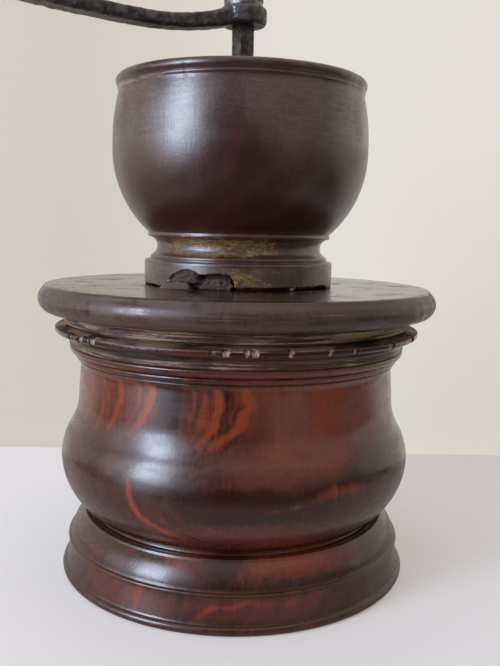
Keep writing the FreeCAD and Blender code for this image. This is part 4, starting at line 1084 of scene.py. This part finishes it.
# the break in the collar: its upper edge as (azimuth, level)
BREAK_EDGE = (
    (194.2, 102.4), (195.2, 104.9), (198, 106.1), (201, 106.8), (205, 107.8), (208.5, 107.9), (212, 107.6),
    (214.4, 107), (216.7, 106.4), (225.4, 106.9), (233.7, 106.7), (235.4, 105.2), (236.6, 102.4))
# the gap that is left under the collar
GAP_EDGE = (
    (164, 102.2), (168, 102.3), (178, 102.1), (187, 101.9), (232, 102.2), (236, 102.6),
    (268, 102.7), (290, 102.7), (298, 102.9), (303, 102.2))
# sapwood left in the collar, between an upper and a lower edge of azimuth and level
COLLAR_SAPWOOD = (
    ((233.5, 107.4), (238, 107.9), (244, 107.3), (247, 105.8), (252, 105.3), (257, 104.4)),
    ((233.5, 106), (236, 104.2), (241, 103.2), (245, 102.3), (257, 102.3)),
)
# sapwood streaks round the neck: (half width in millimetres, strength, stations of azimuth and level)
NECK_STREAKS = (
    (2, 1.00, ((190, 116.2), (209, 117), (223, 116.4), (238, 116.2), (252, 116.4), (262, 115.4))),
    (1.8, 1.00, ((236, 115.6), (252, 115.2), (264, 114.6))),
    (0.8, 1.00, ((192, 113.3), (213, 112.9), (229, 113.1), (241, 112.9), (252, 113.8))),
    (0.9, 0.60, ((176, 117), (182, 116), (188, 115.6))),
    (0.5, 0.55, ((190, 114.6), (196, 113.6), (202, 113.4))),
    (0.7, 0.35, ((262, 116.4), (274, 116.8), (284, 116.4))),
)
# where the dull bloom lies on the bowl or is rubbed off it: (bloom, azimuth, level, reach round, reach up)
BOWL_PATCHES = (
    (0.9, 268, 158, 40, 22), (0.5, 205, 155, 34, 24), (0.3, 190, 140, 30, 16),
    (-1.6, 236, 139, 12, 14), (-0.5, 232, 152, 9, 7), (-1.5, 240, 120, 58, 10),
    (-0.8, 180, 119, 30, 8), (-0.9, 240, 169.6, 120, 3.4),
    (0.7, 120, 150, 60, 26), (0.7, 20, 150, 90, 26),
)
# fine cracks in the bowl's rim: (azimuth, depth in millimetres)
RIM_CRACKS = ((214.7, 0.5), (256, 0.35), (20, 0.4), (103, 0.5))


def carve_cup(azimuth, radius, level):
    """Cracks the bowl's rim and marks its bloom and wear: (radius, marks)."""
    stain = rough(azimuth, radius, level * 0.7, 11.0)
    scratch = rough(azimuth, radius, level * 4.0, 2.0)
    rim = smooth(abs(level - RIM_BEAD_LEVEL + 0.4 * stain), 0.8, 0.3)
    rim *= 0.45 + 0.55 * smooth(azimuth, 214.0, 190.0)
    signs = {
        "bloom": patched(BOWL_PATCHES, azimuth, level, stain, 1.25, 0.35),
        "dull": smooth(level + 2.0 * stain, 151.5, 145.0),
        "worn": rim * (0.8 + 0.5 * scratch)}
    for middle, deep in RIM_CRACKS:
        off = abs(azimuth - middle - 0.3 * stain) * math.radians(radius)
        radius -= deep * smooth(off, 0.28, 0.05) * smooth(level, RIM_BEAD_LEVEL - 1.2, RIM_BEAD_LEVEL)
    return radius, signs


def broken_open(depth, azimuth, radius, level, jag, top):
    """Breaks the collar's front away below its upper edge: (radius, how bare the wood is)."""
    crumb = rough(azimuth, COLLAR_FOOT, level, 0.6, 40.0)
    under = top + 0.3 * jag - level
    broken = smooth(under, -0.1, 0.25)
    lump = smooth(azimuth, 217.5, 213.5) * smooth(level, 103.2, 103.8)
    dig = smooth(under, 0.0, 0.4) * (1.0 - 0.7 * smooth(under, 0.8, 2.4))
    radius -= depth * (1.25 * dig * (1.0 - lump) + 0.45 * broken)
    radius += broken * (0.45 * jag + 0.25 * crumb + 1.1 * lump * smooth(under, 0.2, 1.6))
    return radius, broken


def sapwood_left(azimuth, level, jag):
    """How much sapwood is left between the two edges beside the break."""
    high, low = (along(border, azimuth) for border in COLLAR_SAPWOOD)
    if high is None:
        return 0.0
    inside = smooth(min(high - level, level - low) + 0.5 * jag, -0.2, 0.35)
    stripe = math.sin((azimuth * 0.58 + level * 0.75) * 4.2 + jag * 1.5)
    return inside * min(1.0, 0.75 + 0.5 * stripe)


def carve_collar(depth, azimuth, radius, level):
    """Breaks the collar, opens the gap under it and marks its sapwood: (radius, marks)."""
    broken = sapwood = 0.0
    jag = rough(azimuth, COLLAR_FOOT, level, 1.2)
    top = along(BREAK_EDGE, azimuth)
    if top is not None:
        radius, broken = broken_open(depth, azimuth, radius, level, jag, top)
    gap = along(GAP_EDGE, azimuth)
    if gap is not None and (top is None or azimuth > 234.0):
        bridge = smooth(abs(azimuth - BRIDGE_AZIMUTH), 1.4, 0.6)
        sapwood = bridge * smooth(level, 103.4, 102.9)
        radius -= 3.0 * smooth(gap + 0.15 * jag - level, -0.1, 0.15) * (1.0 - bridge)
    return radius, {
        "broken": broken, "bloom": 1.15 + 0.5 * rough(azimuth, COLLAR_FOOT, level, 5.0, 20.0),
        "sapwood": max(sapwood, sapwood_left(azimuth, level, jag) * (1.0 - broken))}


def neck_signs(azimuth, radius, level):
    """The marks of the neck: its sapwood streaks, its bloom, and the lighter crest of the bead over it,
    rubbed wood with a painted highlight.
    """
    jag = rough(azimuth, 30.0, level, 2.2)
    sapwood = 0.0
    for half_width, strength, stations in NECK_STREAKS:
        middle = along(stations, azimuth)
        if middle is not None:
            off = abs(level - middle + 0.5 * jag)
            sapwood = max(sapwood, strength * smooth(off, half_width * 1.3, half_width * 0.3))
    signs = {"sapwood": sapwood, "bloom": (0.45 + 0.5 * smooth(azimuth, 255.0, 275.0)) * (1.0 + 0.4 * jag)}
    if radius > 35.0:
        # a painted highlight along the bead's crest, as well as rubbed wood
        signs["worn"] = 0.55 * smooth(abs(level - NECK_BEAD_LEVEL), 0.5, 0.15)
    return signs


def carve_bowl(depth, azimuth, radius, level):
    """Carves and marks the cup, the collar and the neck."""
    signs = {}
    if within(CUP, radius, level):
        radius, signs = carve_cup(azimuth, radius, level)
    if within(COLLAR, radius, level):
        radius, signs = carve_collar(depth, azimuth, radius, level)
    elif within(NECK, radius, level):
        signs.update(neck_signs(azimuth, radius, level))
    return radius, level, signs


class MILL_OT_turn_bowl(bpy.types.Operator):
    """Turn the open bowl, its neck and its broken collar"""

    bl_idname = "mill.turn_bowl"
    bl_label = "Turn the bowl"

    def execute(self, context):
        looks = context.scene.mill_looks
        line = TurningLine(COLLAR_FOOT, DISC_TOP)
        line.follow(BOWL_PROFILE)
        line.to(*HOLLOW_TOP)
        line.arc_to(HOLLOW_SIDE, HOLLOW_FLOOR)
        line.to(THROAT_RADIUS, THROAT_TOP)
        line.to(THROAT_RADIUS, SPIGOT_FOOT)
        line.to(SPIGOT_RADIUS, SPIGOT_FOOT)
        line.to(SPIGOT_RADIUS, DISC_TOP)
        line.to(COLLAR_FOOT, DISC_TOP)
        mesh = turned_mesh(
            "bowl", line, looks.turning, BOWL_STEPS, fine=BOWL_FINE,
            carve=partial(carve_bowl, looks.turning.break_depth / MM),
            marks=("sapwood", "broken", "worn", "bloom", "dull"))
        place_piece(mesh, "turned_bowl", "head", "hopper_bowl", bowl_finish(looks.wood))
        return {"FINISHED"}


class MILL_OT_turn_knob(bpy.types.Operator):
    """Turn the knob of the crank"""

    bl_idname = "mill.turn_knob"
    bl_label = "Turn the knob"

    def execute(self, context):
        looks = context.scene.mill_looks
        line = TurningLine(SPINDLE_HOLE, KNOB_FOOT)
        line.to(KNOB_RADIUS, KNOB_FOOT)
        line.follow(KNOB_PROFILE)
        line.to(SPINDLE_HOLE, KNOB_TOP)
        line.to(SPINDLE_HOLE, KNOB_FOOT)
        mesh = turned_mesh("knob", line, looks.turning, KNOB_STEPS, share=0.5, centre=-CRANK_REACH)
        place_piece(mesh, "turned_knob", "knob", "handle_knob", knob_finish(looks.wood))
        return {"FINISHED"}


# Ironwork

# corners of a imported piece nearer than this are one, in millimetres
WELD = 0.002


def forged_mesh(node, voxel, passes, pits, wave):
    """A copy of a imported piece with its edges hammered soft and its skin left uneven."""
    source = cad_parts[node].data.copy()
    work = bmesh.new()
    work.from_mesh(source)
    bmesh.ops.remove_doubles(work, verts=work.verts, dist=WELD * MM)
    work.to_mesh(source)
    work.free()
    blank = bpy.data.objects.new(node + "_blank", source)
    bpy.context.scene.collection.objects.link(blank)
    skin = blank.modifiers.new("skin", "REMESH")
    skin.mode = "VOXEL"
    skin.voxel_size = voxel * MM
    eased = blank.modifiers.new("eased", "SMOOTH")
    eased.iterations = passes
    eased.factor = 0.5
    mesh = bpy.data.meshes.new_from_object(blank.evaluated_get(bpy.context.evaluated_depsgraph_get()))
    bpy.data.objects.remove(blank)
    if not mesh.vertices:
        raise RuntimeError(f"{node} could not be forged")
    moved = []
    for vertex in mesh.vertices:
        spot = vertex.co / MM
        depth = noise.noise(spot / wave) + 0.5 * noise.noise(spot / (wave * 0.3)) - 0.6
        moved.extend(vertex.co + vertex.normal * (depth * pits * MM))
    mesh.vertices.foreach_set("co", moved)
    mesh.update()
    mesh.shade_smooth()
    return mesh


class MILL_OT_forge_crank(bpy.types.Operator):
    """Forge the crank and the shaft with soft edges and pits"""

    bl_idname = "mill.forge_crank"
    bl_label = "Forge the crank and shaft"

    def execute(self, context):
        iron = context.scene.mill_looks.iron
        pits = iron.pitting / MM
        place_piece(
            forged_mesh("crank_arm", 0.35, 6, pits, 2.6), "forged_crank", "drive", "crank_arm",
            iron_finish(iron, "forged_iron", 0.85, 0.35))
        place_piece(
            forged_mesh("main_shaft", 0.30, 3, pits * 0.5, 2.0), "forged_shaft", "drive",
            "main_shaft", iron_finish(iron, "shaft_iron", 0.9, 0.15))
        return {"FINISHED"}


class MILL_OT_finish_ironwork(bpy.types.Operator):
    """Finish the burrs, bridges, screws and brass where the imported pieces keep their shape"""

    bl_idname = "mill.finish_ironwork"
    bl_label = "Finish the ironwork"

    def execute(self, context):
        iron = context.scene.mill_looks.iron
        finishes = {
            iron_finish(iron, "cast_iron", 0.7, 0.25): ["upper_bridge", "lower_bridge"],
            iron_finish(iron, "burr_iron", 0.9, 0.12): ["outer_burr", "inner_burr"],
            steel_finish(): [
                "upper_bridge_screws", "outer_burr_screws", "lower_bridge_bolts", "burr_pin", "crank_washer",
                "crank_nut", "knob_spindle", "knob_washer", "adjusting_screw"],
            brass_finish(iron): ["upper_bush", "thrust_cup"],
        }
        for finish, nodes in finishes.items():
            for node in nodes:
                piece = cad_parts[node]
                if not piece.material_slots:
                    raise RuntimeError(f"{node} has no material slot")
                for slot in piece.material_slots:
                    slot.material = finish
        return {"FINISHED"}


# Stage

# how far the table and the wall reach to each side and forward, and the hollow curve between them, in metres
STAGE_REACH = 2.5
WALL_HEIGHT = 2.2
COVE = 0.012
# the table as the polish mirrors it ends here, in millimetres: in front of the mill, and all round it
TABLE_FRONT = -130.0
TABLE_ROUND = (230.0, 300.0)
# the window: its middle as seen from the mill, in degrees, its distance and size in metres, and its colour
WINDOW_AZIMUTH = 184.5
WINDOW_ELEVATION = 17.5
WINDOW_DISTANCE = 1.5
WINDOW_CENTRE = (0.0, 0.0, 0.1)
WINDOW_SIZE = (0.52, 0.86)
WINDOW_COLOUR = (0.66, 0.78, 1.0)
# the room's colour near the window, away from it, and behind the table and wall
SKY = (0.86, 0.92, 1.0)
LAMPLIGHT = (1.0, 0.91, 0.80)
BACKDROP = (0.95, 0.90, 0.84)
# the photographer's eye in metres and how the camera is turned there, in degrees
EYE = (0.0, -0.27753, 0.12147)
YAW = 0.980
PITCH = 7.719
ROLL = 1.296
# the room as the polish mirrors it: (radiance, azimuth, elevation, reach round, reach up) of each patch
ROOM_PATCHES = (
    (1.9, 179, -8, 19, 10), (1.5, 172, 12, 48, 26), (0.9, 332, 7, 11, 12), (-0.25, 235, 10, 28, 30),
    (-0.2, 278, 32, 34, 20), (0.12, 272, -5, 22, 6), (-0.2, 125, 3, 26, 9),
)


def stage_finish(name, colour, shade, wide, self_lit, front=None):
    """A pale matt surface; the camera sees part of its colour unshaded, so that it stays pale."""
    finish = Finish(name)
    cloud = finish.noise(wide, 3.0)
    spot = finish.add("ShaderNodeSeparateXYZ", None, {"Vector": finish.place()})
    tone = finish.tint(shade, colour, spot * 0.006 + (cloud - 0.5) * 0.3, -0.6, 0.35)
    shaded = finish.add("ShaderNodeBsdfPrincipled", None, {"Base Color": tone, "Roughness": 0.6})
    glow = finish.add("ShaderNodeEmission", None, {"Color": tone, "Strength": 1.0})
    camera_sees = finish.add("ShaderNodeLightPath", output="Is Camera Ray")
    polish_sees = camera_sees.other("Is Glossy Ray")
    seen = finish.math("MAXIMUM", camera_sees, polish_sees)
    skin = finish.add("ShaderNodeMixShader", None, {0: seen * self_lit, 1: shaded, 2: glow})
    if front is None:
        gone = finish.add("ShaderNodeNewGeometry", output="Backfacing")
    else:
        back = spot.other("Y")
        gone = finish.math(
            "MAXIMUM", finish.fade(back, front, front - 20.0),
            finish.fade((spot * spot + back * back) ** 0.5, *TABLE_ROUND))
        gone = (gone * 0.5 + 0.5) * polish_sees
    clear = finish.add("ShaderNodeBsdfTransparent")
    skin = finish.add("ShaderNodeMixShader", None, {0: gone, 1: skin, 2: clear})
    finish.add("ShaderNodeOutputMaterial", None, {"Surface": skin})
    return finish.material


def sheet_mesh(name, rows, half_width):
    """A wide strip whose cross-section runs through the given (y, z) rows."""
    corners = [(side * half_width, y, z) for y, z in rows for side in (-1, 1)]
    faces = [(2 * i, 2 * i + 1, 2 * i + 3, 2 * i + 2) for i in range(len(rows) - 1)]
    mesh = bpy.data.meshes.new(name)
    mesh.from_pydata(corners, [], faces)
    mesh.shade_smooth()
    return mesh


def room_light(look):
    """Pale light from the room, with brighter and darker patches that the polish mirrors."""
    room = Finish("room", bpy.data.worlds)
    here = room.add("ShaderNodeTexCoord", output="Generated")
    way = room.add("ShaderNodeSeparateXYZ", None, {"Vector": here})
    azimuth = room.math("ARCTAN2", way.other("Y"), way) * math.degrees(1.0)
    azimuth = room.math("WRAP", azimuth, 360.0, 0.0)
    elevation = room.math("ARCSINE", way.other("Z")) * math.degrees(1.0)
    bright = room.fade(elevation, -2.0, 12.0, 0.13, 0.45) + room.fade(elevation, 25.0, 70.0, 0.0, 0.55)
    for share, middle, height, reach_round, reach_up in ROOM_PATCHES:
        aside = (azimuth - middle) / reach_round
        above = (elevation - height) / reach_up
        bright = bright + room.fade((aside * aside + above * above) ** 0.5, 1.0, 0.35) * share
    camera_sees = room.add("ShaderNodeLightPath", output="Is Camera Ray")
    colour = room.tint(SKY, LAMPLIGHT, room.math("ABSOLUTE", azimuth - 178.0), 35.0, 75.0)
    colour = room.blend(camera_sees, colour, BACKDROP)
    strength = room.math("MAXIMUM", bright, 0.02) * look.room_light * (1.0 - camera_sees) + camera_sees
    back = room.add("ShaderNodeBackground", None, {"Color": colour, "Strength": strength})
    room.add("ShaderNodeOutputWorld", None, {"Surface": back})
    return room.material


class MILL_OT_set_stage(bpy.types.Operator):
    """Set the table, the wall, the window light and the camera"""

    bl_idname = "mill.set_stage"
    bl_label = "Set the stage"

    def execute(self, context):
        scene = context.scene
        look = scene.mill_looks.stage
        wall = look.wall_distance
        corner = [
            (wall - COVE + COVE * math.sin(angle), COVE - COVE * math.cos(angle))
            for angle in (math.radians(90.0 * step / 10) for step in range(11))]
        pieces = (
            ("table", [(-STAGE_REACH, 0.0), corner[0]], look.table, look.table, 0.02, 0.35, TABLE_FRONT),
            ("wall", corner + [(wall, WALL_HEIGHT)], look.wall, look.wall_shade, 0.004, 0.75, None),
        )
        for name, rows, colour, shade, wide, self_lit, front in pieces:
            piece = bpy.data.objects.new("stage_" + name, sheet_mesh(name, rows, STAGE_REACH))
            scene.collection.objects.link(piece)
            piece.rotation_euler.z = VIEW_TURN
            piece.data.materials.append(stage_finish("stage_" + name, colour, shade, wide, self_lit, front))
        self.window(scene, look)
        scene.world = room_light(look)
        self.camera(scene, look)
        scene.view_settings.view_transform = "Standard"
        return {"FINISHED"}

    def window(self, scene, look):
        """A window to the left of the camera."""
        lamp = bpy.data.lights.new("window", "AREA")
        lamp.shape = "RECTANGLE"
        lamp.size, lamp.size_y = WINDOW_SIZE
        lamp.energy = look.window_power
        lamp.color = WINDOW_COLOUR
        window = bpy.data.objects.new("window", lamp)
        scene.collection.objects.link(window)
        azimuth, elevation = math.radians(WINDOW_AZIMUTH), math.radians(WINDOW_ELEVATION)
        flat = math.cos(elevation)
        way = Vector((math.cos(azimuth) * flat, math.sin(azimuth) * flat, math.sin(elevation)))
        window.location = way * WINDOW_DISTANCE + Vector(WINDOW_CENTRE)
        window.rotation_euler = way.to_track_quat("Z", "Y").to_euler()

    def camera(self, scene, look):
        """The photograph's viewpoint, just above the table and in front of the mill."""
        yaw, pitch, roll = (math.radians(turn) for turn in (YAW, PITCH, ROLL))
        level = Vector((math.cos(yaw), -math.sin(yaw), 0.0))
        upright = Vector((math.sin(pitch) * math.sin(yaw), math.sin(pitch) * math.cos(yaw), math.cos(pitch)))
        ahead = Vector((math.cos(pitch) * math.sin(yaw), math.cos(pitch) * math.cos(yaw), -math.sin(pitch)))
        right = math.cos(roll) * level + math.sin(roll) * upright
        up = math.cos(roll) * upright - math.sin(roll) * level
        axes = Matrix((right, up, -ahead)).transposed()
        turn = Matrix.Rotation(VIEW_TURN, 3, "Z")
        lens = bpy.data.cameras.new("photographer")
        lens.lens = look.lens
        lens.sensor_width = 36.0
        lens.clip_start = 0.01
        camera = bpy.data.objects.new("photographer", lens)
        scene.collection.objects.link(camera)
        camera.matrix_world = Matrix.Translation(turn @ Vector(EYE)) @ (turn @ axes).to_4x4()
        scene.camera = camera


class MILL_PT_bench(bpy.types.Panel):
    """The coffee mill's steps in the sidebar"""

    bl_idname = "MILL_PT_bench"
    bl_label = "Coffee mill"
    bl_space_type = "VIEW_3D"
    bl_region_type = "UI"
    bl_category = "Coffee mill"

    def draw(self, context):
        for step in STEPS:
            self.layout.operator(step.bl_idname)


STEPS = (
    MILL_OT_turn_barrel, MILL_OT_turn_head, MILL_OT_turn_bowl, MILL_OT_turn_knob, MILL_OT_forge_crank,
    MILL_OT_finish_ironwork, MILL_OT_set_stage)
CLASSES = (WoodLook, TurningLook, IronLook, StageLook, MillLooks) + STEPS + (MILL_PT_bench,)


def register():
    for entry in CLASSES:
        bpy.utils.register_class(entry)
    bpy.types.Scene.mill_looks = PointerProperty(
        type=MillLooks, name="Coffee mill", description="Looks of the coffee mill")


def unregister():
    del bpy.types.Scene.mill_looks
    for entry in reversed(CLASSES):
        bpy.utils.unregister_class(entry)


def main():
    register()
    for step in STEPS:
        family, action = step.bl_idname.split(".")
        getattr(getattr(bpy.ops, family), action)()


if __name__ == "__main__":
    main()
